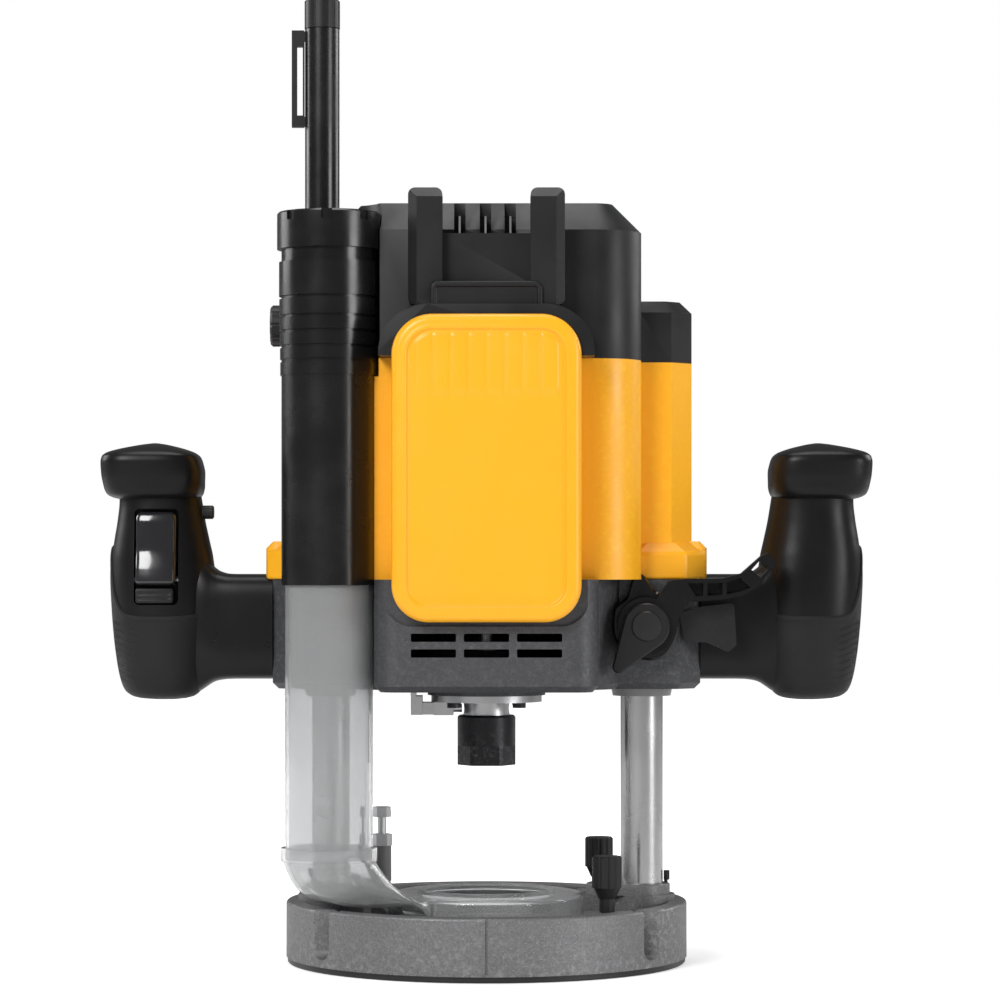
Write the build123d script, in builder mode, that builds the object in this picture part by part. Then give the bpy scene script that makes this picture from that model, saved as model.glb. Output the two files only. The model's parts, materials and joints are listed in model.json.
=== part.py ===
from build123d import *

import math
import os

# Cordless plunge router, in millimetres.
#
# The spindle axis is Z. The underside of the sub-base is z = 0, and the origin is the centre of its opening.
# The two guide columns stand at plus and minus X. The battery face and the dust tube are on the -Y side.
# The depth rod, the turret and the speed dial are on the +Y side.
# The motor carriage is drawn at the top of its travel.

os.makedirs("parts", exist_ok=True)

# ---------------------------------------------------------------- driving dimensions
RUN_GAP = 0.05  # radial clearance of a running fit
SEAT_GAP = 0.02  # radial clearance of a seated part
PLUNGE = 62.0  # travel of the carriage

BASE_R = 85.0
BASE_TOP = 26.0
SUB_BASE_FLANGE = 2.5
FLOOR_BOTTOM = 5.0
FLOOR_TOP = 9.0
RIM_INNER_R = 77.0
CENTRE_HOLE_R = 34.0
GUIDE_BORE_R = 30.0

COLUMN_X = 66.0
COLUMN_R = 9.0
COLUMN_TOP = 200.0
SPRING_SEAT_Z = 150.0

ROD_Y = 51.0  # fence rods run along X at plus and minus this Y
ROD_Z = 14.0
ROD_BORE_R = 4.1
CLAMP_X = 49.5

TUBE_X, TUBE_Y = -65.0, -44.5
CLEAR_TUBE_R = 18.15
OUTER_TUBE_R = 19.6

CARRIAGE_BOTTOM = 116.0
HOUSING_BOTTOM = 162.0
HOUSING_TOP = 253.0
HOUSING_HALF = 64.5
HOUSING_FRONT, HOUSING_REAR = -50.0, 60.0
HOUSING_CORNER = 20.0
WALL = 3.0
TOWER_OUT = 86.6
TOWER_HALF = 20.0
TOWER_CHAMFER = 9.0
TOWER_TOP = 279.0
TOWER_BORE_R = 11.2
BULGE_HALF = 46.0
BULGE_FRONT = -66.0
ARCH_FRONT = -70.0
PANEL_FRONT = -76.0

DEPTH_X, DEPTH_Y = -71.5, 35.0
DEPTH_ROD_R = 4.0
TURRET_X, TURRET_Y = -58.5, 35.0
TURRET_PITCH_R = 13.0

LEVER_X, LEVER_Z = 66.4, 142.6
STATOR_R = 38.0
STATOR_BOTTOM, STATOR_TOP = 174.0, 222.0
ROTOR_R = 24.5
PANEL_PEGS = ((-24, 180), (24, 180), (-24, 235), (24, 235))
HANDLE_X = 136.0
SIDES = (-1, 1)


def write(builder, name):
    """Labels a finished piece and writes it as its own STEP file."""
    builder.part.label = name
    export_step(builder.part, f"parts/{name}.step")


def level(z):
    """The horizontal plane at height z."""
    return Plane.XY.offset(z)


def facing_front(y):
    """The vertical plane at depth y whose sketch axes are +X and +Z, and whose normal is -Y."""
    return Plane(origin=(0, y, 0), x_dir=(1, 0, 0), z_dir=(0, -1, 0))


# ---------------------------------------------------------------- base
SCREW_CIRCLE_R = 62.0
SCREW_ANGLES = (90, 210, 330)
TABLE_CIRCLE_R = 47.0
FOOT_TOP = 33.0
FLANGE_BOTTOM = 28.5
FENCE_BOSS_TOP = 25.0
LOW_BOSS_TOP = 22.0
HUB_R = 44.0
HUB_TOP = 16.0
HOOD_SCREW_R = 47.5
HOOD_SCREW_ANGLES = (62, -62)
TURRET_BOSS_TOP = 26.2


def base_casting_piece():
    rim_slot_bottom = 5.6
    slot_half = 4.3
    with BuildPart() as casting:
        with BuildSketch(level(SUB_BASE_FLANGE)):
            Circle(BASE_R)
            Circle(RIM_INNER_R, mode=Mode.SUBTRACT)
        extrude(amount=BASE_TOP - SUB_BASE_FLANGE)
        fillet(casting.edges().group_by(Axis.Z)[-1], 1.2)
        with BuildSketch(level(FLOOR_BOTTOM)):
            Circle(RIM_INNER_R + 1)
        extrude(amount=FLOOR_TOP - FLOOR_BOTTOM)
        with BuildSketch(level(FLOOR_TOP)):
            Circle(HUB_R)
            with PolarLocations(TABLE_CIRCLE_R, 4, start_angle=45):
                Circle(5.5)
            for angle in SCREW_ANGLES:
                with PolarLocations(SCREW_CIRCLE_R, 1, start_angle=angle):
                    Circle(5.5)
            for angle in (78, 102, 258, 282):
                with PolarLocations(HUB_R + 16, 1, start_angle=angle):
                    Rectangle(36, 2.6)
        extrude(amount=HUB_TOP - 2 - FLOOR_TOP)
        with BuildSketch(level(FLOOR_TOP)):
            with Locations((TURRET_X, TURRET_Y)):
                Circle(8)
        extrude(amount=TURRET_BOSS_TOP - FLOOR_TOP)
        with BuildSketch(level(FLOOR_TOP)):
            Circle(HUB_R)
        extrude(amount=HUB_TOP - FLOOR_TOP)
        with BuildSketch(level(FLOOR_TOP)):
            with Locations((50, -ROD_Y), (50, ROD_Y)):
                RectangleRounded(20, 16, 2)
        extrude(amount=FENCE_BOSS_TOP - FLOOR_TOP)
        with BuildSketch(level(FLOOR_TOP)):
            with Locations((-50, -ROD_Y), (-33, ROD_Y)):
                RectangleRounded(20, 16, 2)
        extrude(amount=LOW_BOSS_TOP - FLOOR_TOP)
        with BuildSketch(level(FLOOR_TOP)):
            for angle in HOOD_SCREW_ANGLES:
                with PolarLocations(HOOD_SCREW_R, 1, start_angle=angle):
                    Circle(4)
        extrude(amount=HUB_TOP - FLOOR_TOP)
        with BuildSketch(level(FLOOR_TOP)):
            with Locations((-COLUMN_X, 0), (COLUMN_X, 0)):
                Circle(14)
        extrude(amount=FLANGE_BOTTOM - FLOOR_TOP)
        with BuildSketch(level(FLANGE_BOTTOM)):
            with Locations((-60.2, 0), (60.2, 0)):
                SlotOverall(35.6, 24)
        extrude(amount=FOOT_TOP - FLANGE_BOTTOM)
        fillet(casting.edges().group_by(Axis.Z)[-1], 0.8)
        # centre opening, column seats and screw holes
        with BuildSketch(level(0)):
            Circle(CENTRE_HOLE_R)
        extrude(amount=HUB_TOP + 1, mode=Mode.SUBTRACT)
        with BuildSketch(level(SUB_BASE_FLANGE + 3)):
            with Locations((-COLUMN_X, 0), (COLUMN_X, 0)):
                Circle(COLUMN_R + SEAT_GAP)
        extrude(amount=FOOT_TOP, mode=Mode.SUBTRACT)
        with BuildSketch(level(0)):
            for angle in SCREW_ANGLES:
                with PolarLocations(SCREW_CIRCLE_R, 1, start_angle=angle):
                    Circle(2.5 + SEAT_GAP)
            with PolarLocations(TABLE_CIRCLE_R, 4, start_angle=45):
                Circle(2.6)
        extrude(amount=HUB_TOP - 3, mode=Mode.SUBTRACT)
        with BuildSketch(level(7)):
            with Locations((TURRET_X, TURRET_Y)):
                Circle(2.5)
            for angle in HOOD_SCREW_ANGLES:
                with PolarLocations(HOOD_SCREW_R, 1, start_angle=angle):
                    Circle(1.5)
        extrude(amount=20, mode=Mode.SUBTRACT)
        # fence rod bores, and the open slots in the rim that they leave by
        with BuildSketch(Plane.YZ.offset(-62)):
            with Locations((-ROD_Y, ROD_Z), (ROD_Y, ROD_Z)):
                Circle(ROD_BORE_R)
        extrude(amount=124, mode=Mode.SUBTRACT)
        for side in SIDES:
            with BuildSketch(Plane.YZ.offset(60 * side)):
                for rod_side in SIDES:
                    with Locations((rod_side * ROD_Y, (rim_slot_bottom + 40) / 2 + slot_half / 2)):
                        Rectangle(2 * slot_half, 40 - rim_slot_bottom - slot_half)
                    with Locations((rod_side * ROD_Y, rim_slot_bottom + slot_half)):
                        Circle(slot_half)
            extrude(amount=30 * side, mode=Mode.SUBTRACT)
        with BuildSketch(level(FENCE_BOSS_TOP)):
            with Locations((CLAMP_X, ROD_Y), (CLAMP_X, -ROD_Y)):
                Circle(2.5 + RUN_GAP)
        extrude(amount=-(FENCE_BOSS_TOP - ROD_Z), mode=Mode.SUBTRACT)
        # centre marks on the rim, front and rear
        with BuildSketch(level(SUB_BASE_FLANGE + 1)):
            with Locations((0, -BASE_R), (0, BASE_R)):
                Rectangle(1.1, 1.4)
        extrude(amount=BASE_TOP, mode=Mode.SUBTRACT)
        # holes for the small set screws beside the columns
        with BuildSketch(level(FOOT_TOP)):
            with Locations((-76.3, 0), (76.3, 0)):
                Circle(0.82)
        extrude(amount=-3, mode=Mode.SUBTRACT)
    return casting


def sub_base_piece():
    with BuildPart() as plate:
        with BuildSketch(level(0)):
            Circle(BASE_R - 0.6)
        extrude(amount=SUB_BASE_FLANGE)
        chamfer(plate.edges().group_by(Axis.Z)[0], 0.5)
        with BuildSketch(level(SUB_BASE_FLANGE)):
            Circle(RIM_INNER_R - 0.1)
        extrude(amount=FLOOR_BOTTOM - SUB_BASE_FLANGE)
        with BuildSketch(level(0)):
            Circle(GUIDE_BORE_R)
            with PolarLocations(TABLE_CIRCLE_R, 4, start_angle=45):
                Circle(3.3)
            for angle in SCREW_ANGLES:
                with PolarLocations(SCREW_CIRCLE_R, 1, start_angle=angle):
                    Circle(2.5 + SEAT_GAP)
        extrude(amount=FLOOR_BOTTOM, mode=Mode.SUBTRACT)
        for angle in SCREW_ANGLES:
            with BuildPart(mode=Mode.SUBTRACT):
                with PolarLocations(SCREW_CIRCLE_R, 1, start_angle=angle):
                    with Locations((0, 0, 1.5)):
                        Cone(5.2, 2.5, 3)
    return plate


def sub_base_screws_piece():
    with BuildPart() as screws:
        for angle in SCREW_ANGLES:
            with PolarLocations(SCREW_CIRCLE_R, 1, start_angle=angle):
                with Locations((0, 0, 1.65)):
                    Cone(4.9, 2.5, 2.7)
                with Locations((0, 0, 7.4)):
                    Cylinder(2.5, 9)
        with BuildSketch(level(0.3)):
            for angle in SCREW_ANGLES:
                with PolarLocations(SCREW_CIRCLE_R, 1, start_angle=angle):
                    Rectangle(4.6, 1)
                    Rectangle(1, 4.6)
        extrude(amount=1.2, mode=Mode.SUBTRACT)
    return screws


def guide_columns_piece():
    seat = SUB_BASE_FLANGE + 3
    with BuildPart() as columns:
        with BuildSketch(level(seat)):
            with Locations((-COLUMN_X, 0), (COLUMN_X, 0)):
                Circle(COLUMN_R)
        extrude(amount=COLUMN_TOP - seat)
        chamfer(columns.edges().group_by(Axis.Z)[-1], 1)
        # hollow at both ends, with a solid stretch between that seats the plunge spring
        for bottom, top in ((SPRING_SEAT_Z, COLUMN_TOP), (seat, SPRING_SEAT_Z - 10)):
            with BuildSketch(level(bottom)):
                with Locations((-COLUMN_X, 0), (COLUMN_X, 0)):
                    Circle(6.5)
            extrude(amount=top - bottom, mode=Mode.SUBTRACT)
    return columns


def plunge_springs_piece():
    wire_r = 0.9
    coil_r = 5.0
    turns = 14
    height = TOWER_TOP - WALL - SPRING_SEAT_Z - 2 * wire_r - 0.6
    with BuildPart() as springs:
        for side in SIDES:
            start = (side * COLUMN_X, 0, SPRING_SEAT_Z + wire_r + 0.3)
            with BuildLine(Plane(origin=start)) as line:
                Helix(pitch=height / turns, height=height, radius=coil_r)
            with BuildSketch(Plane(origin=line.line @ 0, z_dir=line.line % 0)) as section:
                Circle(wire_r)
            sweep(section.sketch, path=line.line, is_frenet=True)
    return springs


def column_set_screws_piece():
    with BuildPart() as screws:
        for side in SIDES:
            with Locations((side * 76.3, 0, 32.5)):
                Cylinder(0.8, 5)
            with Locations((side * 76.6, 0, 36.2)):
                Cylinder(1.3, 4)
    return screws


def thumbscrew_piece(side):
    knob_bottom, knob_top = 35.5, 48.5
    with BuildPart() as screw:
        with BuildSketch(level(knob_bottom)):
            with Locations((CLAMP_X, side * ROD_Y)):
                Circle(6.2)
                with PolarLocations(6.5, 12):
                    Circle(0.75, mode=Mode.SUBTRACT)
        extrude(amount=knob_top - knob_bottom)
        chamfer(screw.edges().group_by(Axis.Z)[-1], 0.7)
        with Locations((CLAMP_X, side * ROD_Y, 33.25)):
            Cone(3.6, 5.6, 4.5)
        with Locations((CLAMP_X, side * ROD_Y, 28.25)):
            Cylinder(3.2, 5.5)
        with Locations((CLAMP_X, side * ROD_Y, 22.2)):
            Cylinder(2.5, 7)
    return screw


# ---------------------------------------------------------------- dust hood, chute and tubes
HOOD_R = 41.2
HOOD_TOP = 29.0
HOOD_OPENING_R = 27.0
HOOD_WALL = 2.0
TUBE_BOTTOM = 47.0
CHUTE_OUT = Vector(TUBE_X, TUBE_Y, 0).normalized()  # from the spindle axis towards the tube
CHUTE_R = math.hypot(TUBE_X, TUBE_Y)


def chute_section(reach, z, tilt, width, height, corner):
    """A rounded section of the chute, some way from the spindle axis. Tilt 0 faces down, 90 inward."""
    turn = math.radians(tilt)
    normal = CHUTE_OUT * -math.sin(turn) + Vector(0, 0, -1) * math.cos(turn)
    across = Vector(-CHUTE_OUT.Y, CHUTE_OUT.X, 0)
    centre = CHUTE_OUT * reach + Vector(0, 0, z)
    with BuildSketch(Plane(origin=centre, x_dir=across, z_dir=normal)) as section:
        RectangleRounded(width, height, corner)
    return section.sketch


def chute_solid(inset):
    """The chute from the tube down to the hood, drawn in by inset on every side and cut level at the tube."""
    trim = 2 * inset
    round_size = 2 * CLEAR_TUBE_R + 2.4 - trim
    sweep_down = loft(
        [
            chute_section(CHUTE_R, TUBE_BOTTOM + 1, 0, round_size, round_size, round_size / 2 - 0.4),
            chute_section(CHUTE_R - 5.5, 38.5, 38, 38.6 - trim, 27 - trim, (27 - trim) / 2 - 0.5),
            chute_section(60, 32.4, 80, 38 - trim, 11.6 - trim, (11.6 - trim) / 2 - 0.5),
            chute_section(39, 22.9, 90, 33 - trim, 11.6 - trim, (11.6 - trim) / 2 - 0.5),
        ]
    )
    return sweep_down - Pos(TUBE_X, TUBE_Y, TUBE_BOTTOM + 10) * Box(80, 80, 20)


def dust_hood_piece():
    lip_r = HOOD_OPENING_R + 2
    seat_z = HUB_TOP + 0.1
    cavity_r = HOOD_R - HOOD_WALL
    socket_r = CLEAR_TUBE_R + 1.7
    chute_wall = chute_solid(0) - chute_solid(1.6)
    chute_core = chute_solid(0.8)
    with BuildPart() as hood:
        with BuildSketch(level(seat_z)):
            Circle(HOOD_R)
        extrude(amount=HOOD_TOP - seat_z)
        fillet(hood.edges().group_by(Axis.Z)[-1], 2.5)
        with BuildSketch(level(HOOD_TOP - 1)):
            Circle(lip_r)
        extrude(amount=2.5)
        with BuildSketch(level(seat_z)):
            for angle in HOOD_SCREW_ANGLES:
                with PolarLocations(HOOD_SCREW_R - 3, 1, start_angle=angle):
                    SlotOverall(14, 8)
        extrude(amount=2.4)
        add(chute_core, mode=Mode.SUBTRACT)
        add(chute_wall)
        with BuildSketch(level(TUBE_BOTTOM - 1)):
            with Locations((TUBE_X, TUBE_Y)):
                Circle(socket_r)
                Circle(CLEAR_TUBE_R - 1, mode=Mode.SUBTRACT)
        extrude(amount=1)
        with BuildSketch(level(TUBE_BOTTOM)):
            with Locations((TUBE_X, TUBE_Y)):
                Circle(socket_r)
                Circle(CLEAR_TUBE_R + SEAT_GAP, mode=Mode.SUBTRACT)
        extrude(amount=4.5)
        with BuildSketch(level(seat_z)):
            Circle(cavity_r)
        extrude(amount=HOOD_TOP - seat_z - HOOD_WALL, mode=Mode.SUBTRACT)
        with BuildSketch(level(HUB_TOP)):
            Circle(HOOD_OPENING_R)
        extrude(amount=20, mode=Mode.SUBTRACT)
        with BuildSketch(level(HUB_TOP)):
            for angle in HOOD_SCREW_ANGLES:
                with PolarLocations(HOOD_SCREW_R, 1, start_angle=angle):
                    Circle(1.7)
        extrude(amount=4, mode=Mode.SUBTRACT)
    return hood


def tube_solid(outer_r, inner_r, bottom, top):
    """A plain vertical tube on the dust tube's axis."""
    with BuildPart() as tube:
        with BuildSketch(level(bottom)):
            with Locations((TUBE_X, TUBE_Y)):
                Circle(outer_r)
                Circle(inner_r, mode=Mode.SUBTRACT)
        extrude(amount=top - bottom)
    return tube


def dust_tube_piece():
    tube_top = 190.0
    tube = tube_solid(CLEAR_TUBE_R, CLEAR_TUBE_R - 1.5, TUBE_BOTTOM + 0.1, tube_top)
    return tube


def dust_hood_screws_piece():
    with BuildPart() as screws:
        for angle in HOOD_SCREW_ANGLES:
            with PolarLocations(HOOD_SCREW_R, 1, start_angle=angle):
                with Locations((0, 0, HUB_TOP + 3.7)):
                    Cylinder(3.1, 2.2)
                with Locations((0, 0, 14.9)):
                    Cylinder(1.5, 9)
        with BuildSketch(level(HUB_TOP + 4.8)):
            for angle in HOOD_SCREW_ANGLES:
                with PolarLocations(HOOD_SCREW_R, 1, start_angle=angle):
                    RegularPolygon(1.4, 6)
        extrude(amount=-1.4, mode=Mode.SUBTRACT)
    return screws


# ---------------------------------------------------------------- depth turret
TURRET_DISC_R = 16.8
TURRET_BOTTOM = 26.5
TURRET_TOP = 30.5
STEP_TOPS = (46.0, 40.0, 34.0)
STEP_ANGLES = (0, 120, 240)
STOP_RISE = 12.4  # underside of a stop screw's head above its step
STOP_HEAD = 4.4
STOP_SCREW_TOP = max(STEP_TOPS) + STOP_RISE + STOP_HEAD


def step_place(index):
    """Where a step of the turret stands."""
    turn = math.radians(STEP_ANGLES[index])
    return (TURRET_X + TURRET_PITCH_R * math.cos(turn), TURRET_Y + TURRET_PITCH_R * math.sin(turn))


def turret_piece():
    with BuildPart() as turret:
        with BuildSketch(level(TURRET_BOTTOM)):
            with Locations((TURRET_X, TURRET_Y)):
                Circle(TURRET_DISC_R)
                with PolarLocations(TURRET_DISC_R + 1.4, 6, start_angle=30):
                    Circle(3.4, mode=Mode.SUBTRACT)
        extrude(amount=TURRET_TOP - TURRET_BOTTOM)
        chamfer(turret.edges().group_by(Axis.Z)[-1], 0.5)
        for index, top in enumerate(STEP_TOPS):
            with BuildSketch(level(TURRET_TOP)):
                with Locations(step_place(index)):
                    Circle(4.15)
            extrude(amount=top - TURRET_TOP)
        with BuildSketch(level(TURRET_BOTTOM)):
            with Locations((TURRET_X, TURRET_Y)):
                Circle(2.5 + RUN_GAP)
        extrude(amount=TURRET_TOP, mode=Mode.SUBTRACT)
        for index, top in enumerate(STEP_TOPS):
            with BuildSketch(level(top)):
                with Locations(step_place(index)):
                    Circle(1.9)
            extrude(amount=-5, mode=Mode.SUBTRACT)
    return turret


def turret_pivot_screw_piece():
    with BuildPart() as screw:
        with BuildSketch(level(10)):
            with Locations((TURRET_X, TURRET_Y)):
                Circle(2.5)
        extrude(amount=TURRET_TOP + 0.2 - 10)
        with BuildSketch(level(TURRET_TOP + 0.2)):
            with Locations((TURRET_X, TURRET_Y)):
                Circle(5)
        extrude(amount=3)
        chamfer(screw.edges().group_by(Axis.Z)[-1], 0.6)
        with BuildSketch(level(TURRET_TOP + 3.2)):
            with Locations((TURRET_X, TURRET_Y)):
                RegularPolygon(2.3, 6)
        extrude(amount=-2, mode=Mode.SUBTRACT)
    return screw


def turret_lock_nuts_piece():
    with BuildPart() as nuts:
        for index, top in enumerate(STEP_TOPS):
            with BuildSketch(level(top)):
                with Locations(step_place(index)):
                    RegularPolygon(4.6, 6, major_radius=True)
                    Circle(1.9, mode=Mode.SUBTRACT)
            extrude(amount=5)
    return nuts


def turret_stop_screws_piece():
    with BuildPart() as screws:
        for index, top in enumerate(STEP_TOPS):
            with BuildSketch(level(top - 5)):
                with Locations(step_place(index)):
                    Circle(1.9)
            extrude(amount=STOP_RISE + 5)
            with BuildSketch(level(top + STOP_RISE)):
                with Locations(step_place(index)):
                    RegularPolygon(4.15, 6, major_radius=True)
            extrude(amount=STOP_HEAD)
            with BuildSketch(level(top + STOP_RISE + STOP_HEAD)):
                with Locations(step_place(index)):
                    Rectangle(9, 1)
            extrude(amount=-1.6, mode=Mode.SUBTRACT)
    return screws


# ---------------------------------------------------------------- motor carriage
def channel_circles(gap):
    """The two round channels in the carriage's left side: the dust tube's and the depth guide's."""
    with Locations((TUBE_X, TUBE_Y)):
        Circle(OUTER_TUBE_R + gap, mode=Mode.SUBTRACT)
    with Locations((DEPTH_X, DEPTH_Y)):
        Circle(DEPTH_GUIDE_R + gap, mode=Mode.SUBTRACT)


def tower_outline(reach, half):
    """Plan of the two column towers, with chamfered outer corners."""
    for side in SIDES:
        Polygon(
            (side * 50, half),
            (side * (reach - TOWER_CHAMFER), half),
            (side * reach, half - TOWER_CHAMFER),
            (side * reach, TOWER_CHAMFER - half),
            (side * (reach - TOWER_CHAMFER), -half),
            (side * 50, -half),
            align=None,
        )


def housing_box(inset):
    """Plan of the motor housing without its towers, drawn in by inset."""
    depth = HOUSING_REAR - HOUSING_FRONT
    with Locations((0, (HOUSING_REAR + HOUSING_FRONT) / 2)):
        RectangleRounded(2 * (HOUSING_HALF - inset), depth - 2 * inset, HOUSING_CORNER - inset)


RETAINER_PITCH_R = 19.5
HOUSING_SCREW_PLACES = ((-57.5, 26), (57.5, 26), (-51.8, -22.6), (56, -16))
BEARING_R = 21.0
BEARING_BOTTOM, BEARING_TOP = 118.0, 130.0
NECK_R = 25.0
NECK_BOTTOM = 112.9
TURRET_POCKET = 35.6  # side of the square pocket over the turret
BUSH_R = 12.0
PLUG_R = 3.4
DEPTH_GUIDE_R = 11.0
PLATE_BOTTOM = 110.0
BOSS_REACH = 90.0
BOSS_HALF = 24.0
SLEEVE_R = 7.5


def casting_outline(inset):
    """Plan of the carriage casting without its column bosses."""
    bulge_depth = 56
    with Locations((0, BULGE_FRONT + bulge_depth / 2)):
        RectangleRounded(2 * (BULGE_HALF - inset), bulge_depth - 2 * inset, 10 - inset)
    with Locations((0, 6)):
        RectangleRounded(2 * (61 - inset), 100 - 2 * inset, 40 - inset)


def carriage_casting_piece():
    cavity_floor = 126.0
    vent_rows = (132.0, 138.4)
    vent_columns = (-21.6, 0, 21.6)
    with BuildPart() as casting:
        with BuildSketch(level(CARRIAGE_BOTTOM)):
            casting_outline(0)
            tower_outline(BOSS_REACH, BOSS_HALF)
        extrude(amount=HOUSING_BOTTOM - CARRIAGE_BOTTOM)
        chamfer(casting.edges().group_by(Axis.Z)[0], 2.5)
        with BuildSketch(level(NECK_BOTTOM)):
            Circle(NECK_R)
        extrude(amount=CARRIAGE_BOTTOM - NECK_BOTTOM)
        with BuildSketch(level(CARRIAGE_BOTTOM)):
            with Locations((DEPTH_X, DEPTH_Y)):
                Circle(9)
            with Locations((DEPTH_X + 10, DEPTH_Y - 4)):
                Rectangle(22, 12)
        extrude(amount=HOUSING_BOTTOM - CARRIAGE_BOTTOM)
        # motor cavity, leaving the bearing hub and the walls round the columns
        with BuildSketch(level(cavity_floor)):
            casting_outline(4.5)
            Circle(BEARING_R + 5, mode=Mode.SUBTRACT)
            with Locations((-COLUMN_X, 0), (COLUMN_X, 0)):
                Circle(BUSH_R + 4, mode=Mode.SUBTRACT)
            with Locations((TUBE_X, TUBE_Y)):
                Circle(OUTER_TUBE_R + 7, mode=Mode.SUBTRACT)
            with Locations((DEPTH_X, DEPTH_Y)):
                Circle(8, mode=Mode.SUBTRACT)
        extrude(amount=HOUSING_BOTTOM - cavity_floor, mode=Mode.SUBTRACT)
        with BuildSketch(level(BEARING_TOP + 2)):
            Circle(BEARING_R + 6)
        extrude(amount=HOUSING_BOTTOM, mode=Mode.SUBTRACT)
        with BuildSketch(level(BEARING_BOTTOM)):
            Circle(BEARING_R + SEAT_GAP)
        extrude(amount=HOUSING_BOTTOM, mode=Mode.SUBTRACT)
        with BuildSketch(level(NECK_BOTTOM)):
            Circle(14)
        extrude(amount=10, mode=Mode.SUBTRACT)
        # pocket that the turret's screws enter at full plunge, and the raised floor over it
        pocket_roof = STOP_SCREW_TOP + PLUNGE + 0.5
        with BuildSketch(level(cavity_floor)):
            casting_outline(0)
            with Locations((TURRET_X, TURRET_Y)):
                Rectangle(TURRET_POCKET + 5, TURRET_POCKET + 5, mode=Mode.INTERSECT)
        extrude(amount=3)
        with BuildSketch(level(NECK_BOTTOM)):
            with Locations((TURRET_X, TURRET_Y)):
                Rectangle(TURRET_POCKET, TURRET_POCKET)
        extrude(amount=pocket_roof - NECK_BOTTOM, mode=Mode.SUBTRACT)
        # dust tube channel, depth rod hole and column bores
        with BuildSketch(level(100)):
            with Locations((TUBE_X, TUBE_Y)):
                Circle(OUTER_TUBE_R + 0.4)
            with Locations((DEPTH_X, DEPTH_Y)):
                Circle(DEPTH_ROD_R + RUN_GAP)
            with Locations((-COLUMN_X, 0), (COLUMN_X, 0)):
                Circle(BUSH_R + SEAT_GAP)
        extrude(amount=70, mode=Mode.SUBTRACT)
        # two rows of vents in the front
        with BuildSketch(facing_front(BULGE_FRONT - 1)):
            for row in vent_rows:
                with Locations(*[(x, row) for x in vent_columns]):
                    RectangleRounded(18.4, 3.4, 0.6)
        extrude(amount=-12, mode=Mode.SUBTRACT)
        # scoop round the lower end of the front panel
        with BuildSketch(facing_front(BULGE_FRONT - 1)):
            with Locations((0, 160)):
                RectangleRounded(84, 34, 12)
        extrude(amount=-2.5, mode=Mode.SUBTRACT)
        # lock shaft bore in the right boss, and tapped holes for the retainer screws
        with BuildSketch(facing_front(-BOSS_HALF)):
            with Locations((LEVER_X, LEVER_Z)):
                Circle(4 + RUN_GAP)
        extrude(amount=-(BOSS_HALF - BUSH_R + 0.7), mode=Mode.SUBTRACT)
        with BuildSketch(level(NECK_BOTTOM)):
            with PolarLocations(RETAINER_PITCH_R, 4, start_angle=45):
                Circle(1.5)
        extrude(amount=5, mode=Mode.SUBTRACT)
        with BuildSketch(level(HOUSING_BOTTOM)):
            with Locations(*HOUSING_SCREW_PLACES):
                Circle(1.75)
        extrude(amount=-10, mode=Mode.SUBTRACT)
        for side in SIDES:
            with BuildSketch(Plane.YZ.offset(side * BOSS_REACH)):
                with Locations((-9, 142), (9, 142)):
                    Circle(2)
            extrude(amount=-side * 9, mode=Mode.SUBTRACT)
    return casting


def guide_bushes_piece():
    with BuildPart() as bushes:
        with BuildSketch(level(CARRIAGE_BOTTOM + 0.1)):
            with Locations((-COLUMN_X, 0), (COLUMN_X, 0)):
                Circle(BUSH_R)
                Circle(COLUMN_R + RUN_GAP, mode=Mode.SUBTRACT)
        extrude(amount=HOUSING_BOTTOM - CARRIAGE_BOTTOM - 0.2)
        # hole in the right bush for the plug that locks the plunge
        with BuildSketch(facing_front(-BUSH_R - 1)):
            with Locations((COLUMN_X, LEVER_Z)):
                Circle(PLUG_R + SEAT_GAP)
        extrude(amount=-8, mode=Mode.SUBTRACT)
    return bushes


def plunge_lock_plug_piece():
    with BuildPart() as plug:
        with BuildSketch(facing_front(-BUSH_R)):
            with Locations((COLUMN_X, LEVER_Z)):
                Circle(PLUG_R)
        extrude(amount=-6)
        with BuildSketch(level(LEVER_Z - 10)):
            with Locations((COLUMN_X, 0)):
                Circle(COLUMN_R + RUN_GAP)
        extrude(amount=20, mode=Mode.SUBTRACT)
    return plug


def column_wipers_piece():
    with BuildPart() as wipers:
        for side in SIDES:
            with BuildSketch(level(CARRIAGE_BOTTOM)):
                with Locations((side * COLUMN_X, 0)):
                    Circle(13)
                    Circle(COLUMN_R + 0.3, mode=Mode.SUBTRACT)
            extrude(amount=-3.4, taper=12)
    return wipers


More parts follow.
